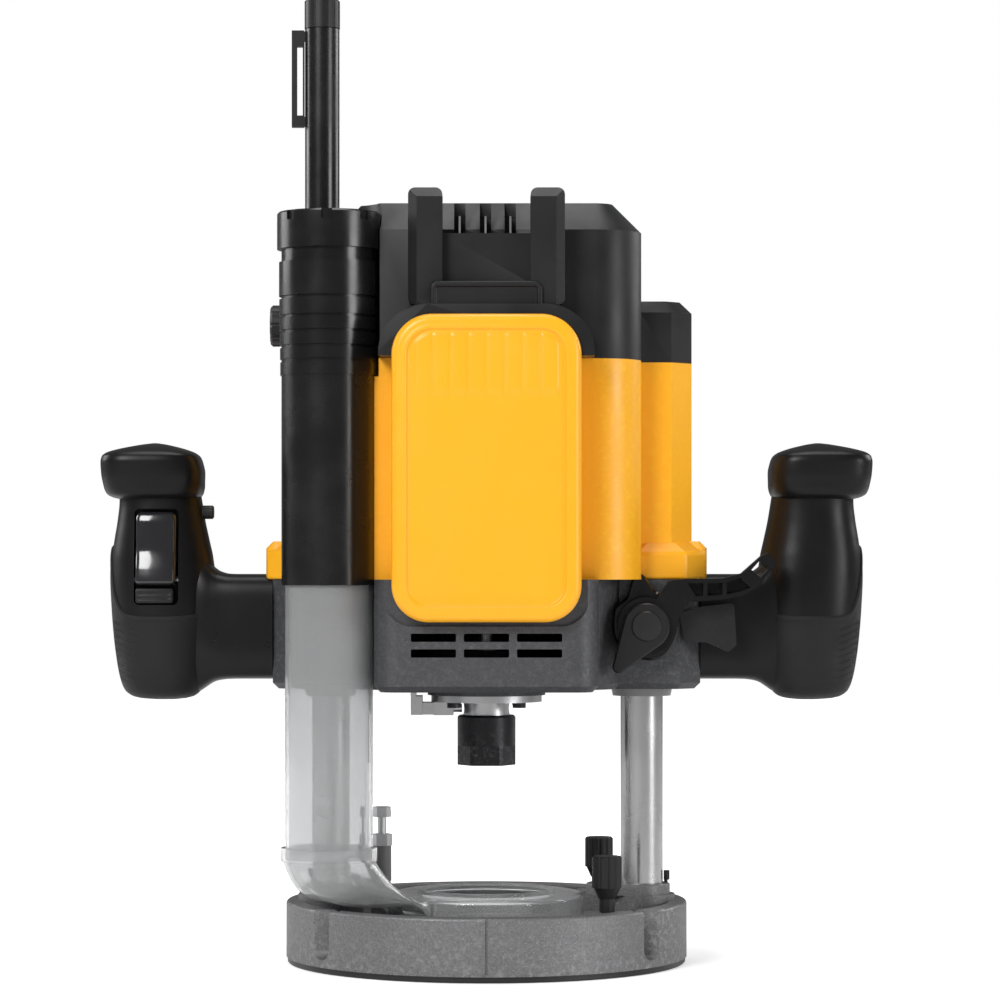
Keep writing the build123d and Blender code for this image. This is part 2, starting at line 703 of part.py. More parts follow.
def motor_housing_piece():
    lug_top = 178.0
    lug_reach = 93.0
    carrier_half = 38.0
    barrel_r = STATOR_R + 3
    height = HOUSING_TOP - HOUSING_BOTTOM
    with BuildPart() as housing:
        with BuildSketch(level(HOUSING_BOTTOM)):
            housing_box(0)
            tower_outline(TOWER_OUT, TOWER_HALF)
            with Locations((0, (HOUSING_FRONT + ARCH_FRONT) / 2 + 1)):
                Rectangle(2 * carrier_half, HOUSING_FRONT - ARCH_FRONT + 2)
            channel_circles(SEAT_GAP)
        extrude(amount=height)
        with BuildSketch(level(HOUSING_BOTTOM)):
            for side in SIDES:
                with Locations((side * (lug_reach - 13), 0)):
                    RectangleRounded(26, 30, 4)
        extrude(amount=lug_top - HOUSING_BOTTOM)
        lug_rim = housing.edges().filter_by_position(Axis.Z, lug_top - 0.1, lug_top + 0.1)
        chamfer(lug_rim.filter_by(lambda e: abs(e.center().X) > lug_reach - 1), 3)
        with BuildSketch(level(HOUSING_BOTTOM)):
            housing_box(WALL)
            with Locations((0, (HOUSING_FRONT + ARCH_FRONT) / 2 + WALL)):
                Rectangle(2 * (carrier_half - WALL), HOUSING_FRONT - ARCH_FRONT)
            with Locations((-COLUMN_X, 0), (COLUMN_X, 0)):
                Circle(TOWER_BORE_R + 2.4, mode=Mode.SUBTRACT)
            channel_circles(WALL)
            with Locations(*HOUSING_SCREW_PLACES):
                Circle(6, mode=Mode.SUBTRACT)
        extrude(amount=height, mode=Mode.SUBTRACT)
        # barrel that holds the stator, tied to the walls by ribs
        with BuildSketch(level(HOUSING_BOTTOM + 4)):
            Circle(barrel_r)
            with GridLocations(2 * 30, 0, 2, 1):
                Rectangle(2.4, 2 * (-HOUSING_FRONT - 1))
            Rectangle(2 * (HOUSING_HALF - 1), 2.4)
            Circle(STATOR_R + SEAT_GAP, mode=Mode.SUBTRACT)
            with Locations((-COLUMN_X, 0), (COLUMN_X, 0)):
                Circle(TOWER_BORE_R + 1, mode=Mode.SUBTRACT)
        extrude(amount=64)
        with BuildSketch(level(HOUSING_BOTTOM)):
            with Locations((-COLUMN_X, 0), (COLUMN_X, 0)):
                Circle(TOWER_BORE_R)
            with Locations(*HOUSING_SCREW_PLACES):
                Circle(2.2)
        extrude(amount=height, mode=Mode.SUBTRACT)
        with BuildSketch(level(HOUSING_TOP)):
            with Locations(*HOUSING_SCREW_PLACES):
                Circle(4.1)
        extrude(amount=-5.5, mode=Mode.SUBTRACT)
        with BuildSketch(facing_front(ARCH_FRONT)):
            with Locations(*PANEL_PEGS):
                Circle(2 + SEAT_GAP)
        extrude(amount=-WALL, mode=Mode.SUBTRACT)
        # relief for the ribs at the top of the dust tube
        with BuildSketch(level(RIB_LEVELS[0] - 0.5)):
            with Locations((TUBE_X, TUBE_Y)):
                Circle(COLLAR_R)
        extrude(amount=height, mode=Mode.SUBTRACT)
    return housing


def front_panel_piece():
    half, bottom, top = 38.5, 144.8, 269.7
    border, recess = 5.5, 1.6
    middle = (bottom + top) / 2
    with BuildPart() as panel:
        with BuildSketch(facing_front(ARCH_FRONT)) as outline:
            with Locations((0, middle)):
                Rectangle(2 * half, top - bottom)
            fillet(outline.vertices().group_by(Axis.Y)[-1], 18.5)
            fillet(outline.vertices().group_by(Axis.Y)[0], 10)
        extrude(amount=ARCH_FRONT - PANEL_FRONT)
        fillet(panel.faces().sort_by(Axis.Y)[0].outer_wire().edges(), 1.4)
        with BuildSketch(facing_front(PANEL_FRONT)) as field:
            with Locations((0, middle)):
                Rectangle(2 * (half - border), top - bottom - 2 * border)
            fillet(field.vertices().group_by(Axis.Y)[-1], 13)
            fillet(field.vertices().group_by(Axis.Y)[0], 6)
        extrude(amount=-recess, mode=Mode.SUBTRACT)
        with BuildSketch(facing_front(PANEL_FRONT + recess)):
            for column in range(8):
                with Locations((-23.8 + 6.8 * column, 249)):
                    SlotOverall(24, 4.4, rotation=90)
        extrude(amount=-0.7, mode=Mode.SUBTRACT)
        # four pegs that press into the housing behind
        with BuildSketch(facing_front(ARCH_FRONT)):
            with Locations(*PANEL_PEGS):
                Circle(2)
        extrude(amount=-2.5)
    return panel


# ---------------------------------------------------------------- top housing
CROWN_CHAMFER = 12.0
RAIL_FRONT = -66.0
SLOT_CENTRES = (-11.0, -0.4, 9.8)
CROWN_FLOOR = 318.0
HOLLOW_TOP = CROWN_FLOOR - CROWN_CHAMFER
TERMINAL_BOTTOM, TERMINAL_TOP = 286.0, 312.0
DIAL_Z = 285.0


def top_housing_piece():
    deck = 299.0
    with BuildPart() as crown:
        with BuildSketch(level(HOUSING_TOP)):
            housing_box(0)
        extrude(amount=CROWN_FLOOR - HOUSING_TOP)
        chamfer(crown.faces().sort_by(Axis.Z)[-1].edges(), CROWN_CHAMFER)
        with BuildSketch(level(HOUSING_TOP)):
            tower_outline(TOWER_OUT, TOWER_HALF)
        extrude(amount=TOWER_TOP - HOUSING_TOP)
        tower_rim = crown.edges().filter_by_position(Axis.Z, TOWER_TOP - 0.1, TOWER_TOP + 0.1)
        chamfer(tower_rim.filter_by(lambda e: abs(e.center().X) > COLUMN_X), 5)
        # the round channels in the left side
        with BuildSketch(level(HOUSING_TOP)):
            with Locations((TUBE_X, TUBE_Y)):
                Circle(COLLAR_R + 0.4)
            with Locations((DEPTH_X, DEPTH_Y)):
                Circle(DEPTH_GUIDE_R + SEAT_GAP)
        extrude(amount=CROWN_FLOOR - HOUSING_TOP, mode=Mode.SUBTRACT)
        # arch round the top of the front panel
        with BuildSketch(facing_front(HOUSING_FRONT)) as arch:
            with Locations((0, HOUSING_TOP + 10.5)):
                Rectangle(88, 21)
            fillet(arch.vertices().group_by(Axis.Y)[-1], 20)
        extrude(amount=HOUSING_FRONT - ARCH_FRONT)
        # battery rails, the plate between them and the latch block
        with BuildSketch(facing_front(HOUSING_FRONT)):
            with Locations((-25, 298)):
                RectangleRounded(14, 48, 3)
            with Locations((25, 298)):
                RectangleRounded(14, 48, 3)
        extrude(amount=HOUSING_FRONT - RAIL_FRONT)
        with BuildSketch(facing_front(HOUSING_FRONT)):
            with Locations((0, 288.5)):
                Rectangle(37, 30)
        extrude(amount=10)
        with BuildSketch(facing_front(HOUSING_FRONT)):
            with Locations((0, 277)):
                RectangleRounded(45, 12, 3)
        extrude(amount=14)
        # terminal slots, open at the top of the plate
        with BuildSketch(level(deck)):
            with Locations(*[(x, -48.5) for x in SLOT_CENTRES]):
                Rectangle(4.7, 21)
        extrude(amount=30, mode=Mode.SUBTRACT)
        # hollow inside, with the front kept solid round the terminals
        for bottom, top in ((HOUSING_TOP, TERMINAL_BOTTOM - 12), (TERMINAL_BOTTOM - 12, HOLLOW_TOP)):
            with BuildSketch(level(bottom)):
                housing_box(WALL)
                with Locations((-COLUMN_X, 0), (COLUMN_X, 0)):
                    Circle(TOWER_BORE_R + 2.4, mode=Mode.SUBTRACT)
                channel_circles(WALL + 1.8)
                if top == HOLLOW_TOP:
                    with Locations((0, -40)):
                        Rectangle(40, 26, mode=Mode.SUBTRACT)
            extrude(amount=top - bottom, mode=Mode.SUBTRACT)
        with BuildSketch(level(HOUSING_TOP)):
            housing_box(CROWN_CHAMFER + WALL)
            with Locations((0, -40)):
                Rectangle(80, 30, mode=Mode.SUBTRACT)
        extrude(amount=CROWN_FLOOR - WALL - HOUSING_TOP, mode=Mode.SUBTRACT)
        with BuildSketch(level(HOUSING_TOP)):
            with Locations((-COLUMN_X, 0), (COLUMN_X, 0)):
                Circle(TOWER_BORE_R)
        extrude(amount=TOWER_TOP - WALL - HOUSING_TOP, mode=Mode.SUBTRACT)
        # pocket for the terminal block, and the hole for the speed dial's shaft
        with BuildSketch(level(TERMINAL_BOTTOM)):
            with Locations((-0.5, -32.5)):
                Rectangle(35 + 2 * SEAT_GAP, 11)
        extrude(amount=TERMINAL_TOP - TERMINAL_BOTTOM, mode=Mode.SUBTRACT)
        with BuildSketch(Plane.XZ.offset(-HOUSING_REAR)):
            with Locations((0, DIAL_Z)):
                Circle(3 + RUN_GAP)
        extrude(amount=WALL + 1, mode=Mode.SUBTRACT)
    return crown


# ---------------------------------------------------------------- dust tube on the carriage
OUTER_TUBE_BOTTOM = 159.7
RIB_LEVELS = (246, 252.6, 258.4, 264.6, 270.8, 278.6)
COLLAR_BOTTOM, COLLAR_TOP = 298.0, 313.3
COLLAR_R = 21.4
DUST_PORT_R = 17.5


def outer_dust_tube_piece():
    bore_r = CLEAR_TUBE_R + 0.35
    rib_top = 292.7
    neck_top = 306.0
    with BuildPart() as tube:
        with BuildSketch(level(OUTER_TUBE_BOTTOM)):
            with Locations((TUBE_X, TUBE_Y)):
                Circle(OUTER_TUBE_R)
        extrude(amount=neck_top - OUTER_TUBE_BOTTOM)
        for index, height in enumerate(RIB_LEVELS):
            rib_end = RIB_LEVELS[index + 1] - 1.2 if index + 1 < len(RIB_LEVELS) else rib_top
            with BuildSketch(level(height)):
                with Locations((TUBE_X, TUBE_Y)):
                    Circle(OUTER_TUBE_R + 0.5 + 0.1 * index)
            extrude(amount=rib_end - height)
        with BuildSketch(level(OUTER_TUBE_BOTTOM)):
            with Locations((TUBE_X, TUBE_Y)):
                Circle(bore_r)
        extrude(amount=neck_top - OUTER_TUBE_BOTTOM, mode=Mode.SUBTRACT)
        # snap groove for the hose collar
        with BuildSketch(level(302)):
            with Locations((TUBE_X, TUBE_Y)):
                Circle(OUTER_TUBE_R + 1)
                Circle(OUTER_TUBE_R - 0.6, mode=Mode.SUBTRACT)
        extrude(amount=2, mode=Mode.SUBTRACT)
    return tube


def hose_collar_piece():
    notch_count = 8
    with BuildPart() as collar:
        with BuildSketch(level(COLLAR_BOTTOM)):
            with Locations((TUBE_X, TUBE_Y)):
                Circle(COLLAR_R)
                Circle(OUTER_TUBE_R + RUN_GAP, mode=Mode.SUBTRACT)
        extrude(amount=8.4)
        with BuildSketch(level(COLLAR_BOTTOM + 8.4)):
            with Locations((TUBE_X, TUBE_Y)):
                Circle(COLLAR_R)
                Circle(DUST_PORT_R, mode=Mode.SUBTRACT)
        extrude(amount=COLLAR_TOP - COLLAR_BOTTOM - 8.4)
        chamfer(collar.edges().group_by(Axis.Z)[-1].sort_by(SortBy.LENGTH)[-1], 0.8)
        # castellations round the top rim
        with BuildSketch(level(COLLAR_TOP)):
            with Locations((TUBE_X, TUBE_Y)):
                with PolarLocations(COLLAR_R, notch_count):
                    Rectangle(2.2, 4.4)
        extrude(amount=-4, mode=Mode.SUBTRACT)
        # snap ring that rides in the tube's groove
        with BuildSketch(level(302.3)):
            with Locations((TUBE_X, TUBE_Y)):
                Circle(OUTER_TUBE_R + 0.5)
                Circle(OUTER_TUBE_R - 0.25, mode=Mode.SUBTRACT)
        extrude(amount=1.4)
    return collar


# ---------------------------------------------------------------- depth stop
SLEEVE_BOTTOM, SLEEVE_TOP = 262.0, 401.0
CAP_TOP = 414.0
DEPTH_TIP = 127.0
GUIDE_TOP = 285.0
CLAMP_KNOB_Z = 272.0
ROD_TOP = 322.0


def depth_guide_piece():
    with BuildPart() as guide:
        with BuildSketch(level(HOUSING_BOTTOM + 0.1)):
            with Locations((DEPTH_X, DEPTH_Y)):
                Circle(DEPTH_GUIDE_R)
            with Locations((DEPTH_X - 6.5, DEPTH_Y)):
                Rectangle(9, 12)
        extrude(amount=GUIDE_TOP - HOUSING_BOTTOM)
        chamfer(guide.edges().group_by(Axis.Z)[-1], 0.8)
        with BuildSketch(level(HOUSING_BOTTOM)):
            with Locations((DEPTH_X, DEPTH_Y)):
                Circle(SLEEVE_R + RUN_GAP)
        extrude(amount=GUIDE_TOP, mode=Mode.SUBTRACT)
        with BuildSketch(Plane.YZ.offset(DEPTH_X)):
            with Locations((DEPTH_Y, CLAMP_KNOB_Z)):
                Circle(3 + RUN_GAP)
        extrude(amount=-20, mode=Mode.SUBTRACT)
    return guide


def depth_clamp_knob_piece():
    outer = DEPTH_X - 11.4
    with BuildPart() as knob:
        with BuildSketch(Plane.YZ.offset(outer)):
            with Locations((DEPTH_Y, CLAMP_KNOB_Z)):
                Circle(9)
                with PolarLocations(9.6, 10):
                    Circle(1.1, mode=Mode.SUBTRACT)
        extrude(amount=-11)
        chamfer(knob.edges().group_by(Axis.X)[0], 1)
        with BuildSketch(Plane.YZ.offset(outer)):
            with Locations((DEPTH_Y, CLAMP_KNOB_Z)):
                Circle(3)
        extrude(amount=3.5)
    return knob


def depth_sleeve_piece():
    with BuildPart() as sleeve:
        with BuildSketch(level(SLEEVE_BOTTOM)):
            with Locations((DEPTH_X, DEPTH_Y)):
                Circle(SLEEVE_R)
        extrude(amount=SLEEVE_TOP - SLEEVE_BOTTOM)
        with BuildSketch(level(SLEEVE_BOTTOM)):
            with Locations((DEPTH_X, DEPTH_Y)):
                Circle(DEPTH_ROD_R + 0.1)
        extrude(amount=SLEEVE_TOP, mode=Mode.SUBTRACT)
        # lead screw's neck bearing
        with BuildSketch(level(SLEEVE_TOP - 6)):
            with Locations((DEPTH_X, DEPTH_Y)):
                Circle(DEPTH_ROD_R + 0.1)
                Circle(2.5 + RUN_GAP, mode=Mode.SUBTRACT)
        extrude(amount=6)
    return sleeve


def depth_pointer_piece():
    """The flat loop beside the sleeve, which carries the pointer and clips on with two feet."""
    bottom, top = 358.5, 400.5
    inner = DEPTH_X - SLEEVE_R
    with BuildPart() as loop:
        with BuildSketch(Plane(origin=(0, DEPTH_Y - 2, 0), x_dir=(1, 0, 0), z_dir=(0, -1, 0))):
            with Locations((inner - 3.0, (bottom + top) / 2)):
                Rectangle(5.4, top - bottom)
            with Locations((inner - 2.2, (bottom + top) / 2 - 1)):
                Rectangle(2.6, top - bottom - 12, mode=Mode.SUBTRACT)
            for end in (bottom + 2.5, top - 2.5):
                with Locations((inner + 0.6, end)):
                    Rectangle(3.4, 4)
        extrude(amount=-4)
        with BuildSketch(level(bottom - 1)):
            with Locations((DEPTH_X, DEPTH_Y)):
                Circle(SLEEVE_R + SEAT_GAP)
        extrude(amount=60, mode=Mode.SUBTRACT)
    return loop


def depth_rod_piece():
    with BuildPart() as rod:
        with BuildSketch(level(DEPTH_TIP)):
            with Locations((DEPTH_X, DEPTH_Y)):
                Circle(DEPTH_ROD_R)
        extrude(amount=ROD_TOP - DEPTH_TIP)
        chamfer(rod.edges().group_by(Axis.Z)[0], 0.8)
        with BuildSketch(level(ROD_TOP)):
            with Locations((DEPTH_X, DEPTH_Y)):
                Circle(2.5 + RUN_GAP)
        extrude(amount=-34, mode=Mode.SUBTRACT)
    return rod


def fine_adjust_knob_piece():
    with BuildPart() as knob:
        with BuildSketch(level(SLEEVE_TOP + 0.3)):
            with Locations((DEPTH_X, DEPTH_Y)):
                Circle(7.7)
                with PolarLocations(8.1, 16):
                    Circle(0.6, mode=Mode.SUBTRACT)
        extrude(amount=CAP_TOP - SLEEVE_TOP - 0.3)
        chamfer(knob.edges().group_by(Axis.Z)[-1], 0.8)
        with BuildSketch(level(295)):
            with Locations((DEPTH_X, DEPTH_Y)):
                Circle(2.5)
        extrude(amount=SLEEVE_TOP + 0.3 - 295)
    return knob


# ---------------------------------------------------------------- spindle
NOSE_R = 10.0
NOSE_BOTTOM = 86.0
NUT_BOTTOM, NUT_TOP = 83.1, 104.3
COLLET_R = 6.35
FAN_R = 34.0
LOCK_Z = 107.2
LOCK_PIN_R = 1.75
LOCK_HOLE_R = 3.1
LOCK_PIN_TIP = -10.4
LOCK_NOSE = -14.0
UPPER_BEARING_BOTTOM = 262.0
SHAFT_TOP = 272.0


def spindle_piece():
    with BuildPart() as spindle:
        with BuildSketch(level(NOSE_BOTTOM)):
            Circle(NOSE_R)
        extrude(amount=BEARING_TOP - NOSE_BOTTOM)
        with BuildSketch(level(BEARING_TOP)):
            Circle(12)
        extrude(amount=3)
        with BuildSketch(level(BEARING_TOP)):
            Circle(6)
        extrude(amount=UPPER_BEARING_BOTTOM - BEARING_TOP)
        with BuildSketch(level(UPPER_BEARING_BOTTOM)):
            Circle(4)
        extrude(amount=SHAFT_TOP - UPPER_BEARING_BOTTOM)
        # collet socket: straight bore, then a taper at the mouth
        with BuildSketch(level(NOSE_BOTTOM)):
            Circle(COLLET_R + 1.2)
        extrude(amount=22, mode=Mode.SUBTRACT)
        with Locations((0, 0, 91)):
            Cone(COLLET_R + 2.4, COLLET_R + 1.2, 10, mode=Mode.SUBTRACT)
        # cross hole for the lock pin
        with BuildSketch(Plane.YZ.offset(-NOSE_R - 1)):
            with Locations((0, LOCK_Z)):
                Circle(LOCK_HOLE_R)
        extrude(amount=2 * NOSE_R + 2, mode=Mode.SUBTRACT)
    return spindle


def collet_piece():
    with BuildPart() as collet:
        with BuildSketch(level(84.6)):
            Circle(COLLET_R + 1.18)
        extrude(amount=19.5)
        with Locations((0, 0, 90.6)):
            Cone(COLLET_R + 2.38, COLLET_R + 1.18, 10)
        with BuildSketch(level(84)):
            Circle(COLLET_R)
        extrude(amount=30, mode=Mode.SUBTRACT)
        # eight spring slits, from the mouth upwards
        with BuildSketch(level(84)):
            with PolarLocations(COLLET_R + 1.2, 8, start_angle=22.5):
                Rectangle(5, 0.6)
        extrude(amount=14, mode=Mode.SUBTRACT)
    return collet


def collet_nut_piece():
    hex_top = 91.4
    with BuildPart() as nut:
        with BuildSketch(level(NUT_BOTTOM)):
            Circle(12.35)
        extrude(amount=NUT_TOP - NUT_BOTTOM)
        with BuildSketch(level(NUT_BOTTOM)):
            Circle(14)
            RegularPolygon(11.1, 6, major_radius=False, mode=Mode.SUBTRACT)
        extrude(amount=hex_top - NUT_BOTTOM, mode=Mode.SUBTRACT)
        chamfer(nut.edges().group_by(Axis.Z)[-1], 0.8)
        with BuildSketch(level(NOSE_BOTTOM)):
            Circle(NOSE_R + RUN_GAP)
        extrude(amount=20, mode=Mode.SUBTRACT)
        with BuildSketch(level(NUT_BOTTOM)):
            Circle(COLLET_R + 0.6)
        extrude(amount=5, mode=Mode.SUBTRACT)
        with Locations((0, 0, 84.9)):
            Cone(COLLET_R + 1.2, COLLET_R + 3.4, 2.3, mode=Mode.SUBTRACT)
    return nut


def spindle_bearings_piece():
    """The lower and the upper ball bearing, each one piece that stands for rings, balls and cage."""
    sizes = (
        (BEARING_R, NOSE_R, BEARING_BOTTOM, BEARING_TOP),
        (11, 4, UPPER_BEARING_BOTTOM, UPPER_BEARING_BOTTOM + 7),
    )
    with BuildPart() as bearings:
        for outer_r, inner_r, bottom, top in sizes:
            middle_r = (outer_r + inner_r) / 2
            with BuildSketch(level(bottom)):
                Circle(outer_r)
                Circle(inner_r + SEAT_GAP, mode=Mode.SUBTRACT)
            extrude(amount=top - bottom)
            for face_z, depth in ((bottom, 0.8), (top, -0.8)):
                with BuildSketch(level(face_z)):
                    Circle(middle_r + 2)
                    Circle(middle_r - 2, mode=Mode.SUBTRACT)
                extrude(amount=depth, mode=Mode.SUBTRACT)
    return bearings


def bearing_retainer_piece():
    rail_bottom = 104.4
    rail_length = 8.4
    rail_x = LOCK_NOSE - rail_length / 2
    with BuildPart() as plate:
        with BuildSketch(level(PLATE_BOTTOM)):
            Circle(23.5)
            Circle(13, mode=Mode.SUBTRACT)
            with PolarLocations(RETAINER_PITCH_R, 4, start_angle=45):
                Circle(1.7, mode=Mode.SUBTRACT)
        extrude(amount=NECK_BOTTOM - PLATE_BOTTOM)
        # guide rails of the spindle lock under the plate, each a separate angle
        with BuildSketch(level(rail_bottom)):
            for side in SIDES:
                with Locations((rail_x, side * 7.6)):
                    Rectangle(rail_length, 2.4)
        extrude(amount=PLATE_BOTTOM - SEAT_GAP - rail_bottom)
        with BuildSketch(level(rail_bottom)):
            for side in SIDES:
                with Locations((rail_x, side * 7.0)):
                    Rectangle(rail_length, 3.6)
        extrude(amount=1.4)
    return plate


def bearing_retainer_screws_piece():
    with BuildPart() as screws:
        with BuildSketch(level(PLATE_BOTTOM - 2.2)):
            with PolarLocations(RETAINER_PITCH_R, 4, start_angle=45):
                Circle(2.8)
        extrude(amount=2.2)
        with BuildSketch(level(PLATE_BOTTOM)):
            with PolarLocations(RETAINER_PITCH_R, 4, start_angle=45):
                Circle(1.5)
        extrude(amount=7.8)
        with BuildSketch(level(PLATE_BOTTOM - 2.2)):
            with PolarLocations(RETAINER_PITCH_R, 4, start_angle=45):
                RegularPolygon(1.3, 6)
        extrude(amount=1.2, mode=Mode.SUBTRACT)
    return screws


def spindle_lock_piece():
    block_bottom, block_top = 104.5, 109.7
    block_length = 15.9
    block_x = LOCK_NOSE - block_length / 2
    with BuildPart() as lock:
        with BuildSketch(level(106.2)):
            with Locations((block_x, 0)):
                Rectangle(block_length, 12.2)
        extrude(amount=block_top - 106.2)
        with BuildSketch(level(block_bottom)):
            with Locations((block_x, 0)):
                Rectangle(block_length, 9.6)
        extrude(amount=1.7)
        # thumb block, with a thin upper plate that clears the casting's neck
        with BuildSketch(level(block_bottom)):
            with Locations((-29.65, 0)):
                Rectangle(4.9, 15)
        extrude(amount=7.9)
        with BuildSketch(level(block_bottom)):
            with Locations((-31, 0)):
                Rectangle(2.2, 15)
        extrude(amount=10.3)
        # steel pin, pressed into the block as a solid of its own
        with BuildSketch(Plane.YZ.offset(-20)):
            with Locations((0, LOCK_Z)):
                Circle(LOCK_PIN_R + SEAT_GAP)
        extrude(amount=10, mode=Mode.SUBTRACT)
        with BuildSketch(Plane.YZ.offset(-19.9)):
            with Locations((0, LOCK_Z)):
                Circle(LOCK_PIN_R)
        extrude(amount=LOCK_PIN_TIP + 19.9)
    return lock


def stator_piece():
    slots = 12
    with BuildPart() as stator:
        with BuildSketch(level(STATOR_BOTTOM)):
            Circle(STATOR_R)
            Circle(ROTOR_R + 0.5, mode=Mode.SUBTRACT)
            with PolarLocations(29.5, slots):
                RectangleRounded(7, 6, 1.5, mode=Mode.SUBTRACT)
        extrude(amount=STATOR_TOP - STATOR_BOTTOM)
    return stator


def motor_windings_piece():
    with BuildPart() as windings:
        for start, amount in ((STATOR_TOP, 6), (STATOR_BOTTOM, -6)):
            with BuildSketch(level(start)):
                Circle(35.5)
                Circle(26.5, mode=Mode.SUBTRACT)
            extrude(amount=amount)
        fillet(windings.edges().group_by(Axis.Z)[-1], 2)
        fillet(windings.edges().group_by(Axis.Z)[0], 2)
    return windings


def rotor_piece():
    with BuildPart() as rotor:
        with BuildSketch(level(STATOR_BOTTOM - 2)):
            Circle(ROTOR_R)
            Circle(6 + SEAT_GAP, mode=Mode.SUBTRACT)
            with PolarLocations(16.5, 8):
                RectangleRounded(6, 8.5, 1, mode=Mode.SUBTRACT)
        extrude(amount=STATOR_TOP - STATOR_BOTTOM + 4)
    return rotor


def cooling_fan_piece():
    blades = 9
    bottom = 142.0
    with BuildPart() as fan:
        with BuildSketch(level(bottom)):
            Circle(FAN_R)
        extrude(amount=2)
        with BuildSketch(level(bottom)):
            Circle(10)
            with PolarLocations(21, blades):
                Rectangle(25, 1.6, rotation=18)
        extrude(amount=14)
        with BuildSketch(level(bottom)):
            Circle(6 + SEAT_GAP)
        extrude(amount=14, mode=Mode.SUBTRACT)
    return fan


def motor_end_bell_piece():
    bottom = HOUSING_BOTTOM + 68.1
    ring_top = bottom + 6
    cup_top = UPPER_BEARING_BOTTOM + 7
    with BuildPart() as bell:
        with BuildSketch(level(bottom)):
            Circle(STATOR_R + 3)
            Circle(29, mode=Mode.SUBTRACT)
        extrude(amount=ring_top - bottom)
        with BuildSketch(level(ring_top)):
            Circle(32)
            Circle(29, mode=Mode.SUBTRACT)
        extrude(amount=cup_top - ring_top)
        with BuildSketch(level(cup_top)):
            Circle(32)
            Circle(11 + SEAT_GAP, mode=Mode.SUBTRACT)
        extrude(amount=-7)
        # cooling windows round the cup
        with BuildSketch(level(ring_top + 3)):
            with PolarLocations(31, 6):
                Rectangle(12, 16)
        extrude(amount=14, mode=Mode.SUBTRACT)
    return bell


def control_module_piece():
    with BuildPart() as module:
        with BuildSketch(level(240)):
            with Locations((0, 45)):
                RectangleRounded(64, 16, 2)
        extrude(amount=58)
        with BuildSketch(level(244)):
            with Locations((0, 45.5)):
                Rectangle(58, 11)
        extrude(amount=54, mode=Mode.SUBTRACT)
        with BuildSketch(level(244)):
            with Locations((0, 44)):
                Rectangle(56, 1.6)
            with Locations((-14, 46), (12, 46)):
                Rectangle(12, 3.6)
        extrude(amount=48)
    return module


def terminal_block_piece():
    with BuildPart() as block:
        with BuildSketch(level(TERMINAL_BOTTOM)):
            with Locations((-0.5, -32.4)):
                Rectangle(35, 10.6)
            with Locations(*[(x, -37) for x in SLOT_CENTRES]):
                Rectangle(0.8, 6, mode=Mode.SUBTRACT)
        extrude(amount=TERMINAL_TOP - TERMINAL_BOTTOM - 0.2)
    return block


def terminal_blades_piece():
    with BuildPart() as blades:
        with BuildSketch(level(TERMINAL_BOTTOM + 14)):
            with Locations(*[(x, -44.1) for x in SLOT_CENTRES]):
                Rectangle(0.8, 20)
        extrude(amount=11)
    return blades


def housing_screws_piece():
    with BuildPart() as screws:
        with BuildSketch(level(HOUSING_BOTTOM - 9)):
            with Locations(*HOUSING_SCREW_PLACES):
                Circle(1.75)
        extrude(amount=HOUSING_TOP - 5.5 - HOUSING_BOTTOM + 9)
        with BuildSketch(level(HOUSING_TOP - 5.5)):
            with Locations(*HOUSING_SCREW_PLACES):
                Circle(3.9)
        extrude(amount=4)
        with BuildSketch(level(HOUSING_TOP - 1.5)):
            with Locations(*HOUSING_SCREW_PLACES):
                RegularPolygon(2, 6)
        extrude(amount=-2, mode=Mode.SUBTRACT)
    return screws


def speed_dial_piece():
    with BuildPart() as dial:
        with BuildSketch(Plane.XZ.offset(-(HOUSING_REAR + 6.3))):
            with Locations((0, DIAL_Z)):
                Circle(13)
        extrude(amount=6)
        chamfer(dial.edges().group_by(Axis.Y)[-1], 1)
        with BuildSketch(Plane.XZ.offset(-(HOUSING_REAR + 0.5))):
            with Locations((0, DIAL_Z)):
                Circle(3)
        extrude(amount=5)
    return dial


# ---------------------------------------------------------------- handles
# height, centre, half width along X, half width along Y
HANDLE_SECTIONS = (
    (111.0, 136.5, 11.0, 10.0),
    (114.5, 136.5, 17.0, 15.5),
    (121.0, 136.6, 19.6, 18.0),
    (134.0, 136.9, 20.8, 19.3),
    (152.0, 137.5, 21.3, 19.6),
    (171.0, 138.0, 20.9, 18.8),
    (188.0, 138.7, 18.2, 16.4),
    (199.0, 140.0, 18.2, 17.0),
)
CAP_SECTIONS = (
    (195.8, 140.8, 18.6, 18.0),
    (201.0, 141.3, 22.0, 21.4),
    (212.0, 141.4, 22.4, 21.4),
    (217.0, 141.2, 19.0, 17.4),
    (220.0, 140.8, 7.0, 6.5),
)
GRIP_TOP = 151.0
GRIP_WALL = 2.5
ARM_BOTTOM, ARM_TOP = 119.8, 164.0
ARM_HALF = 17.0
TRIGGER_X = -139.0
TRIGGER_PIN_Z = 162.0
BUTTON_Z = 190.4


def ellipse_stack(side, sections, inset):
    """A smooth solid through level ellipses, drawn in by inset."""
    with BuildPart() as stack:
        for index, (height, centre, half_x, half_y) in enumerate(sections):
            lift = inset if index == 0 else 0
            with BuildSketch(level(height + lift)):
                with Locations((side * centre, 0)):
                    Ellipse(half_x - inset, half_y - inset)
        loft()
    return stack.part


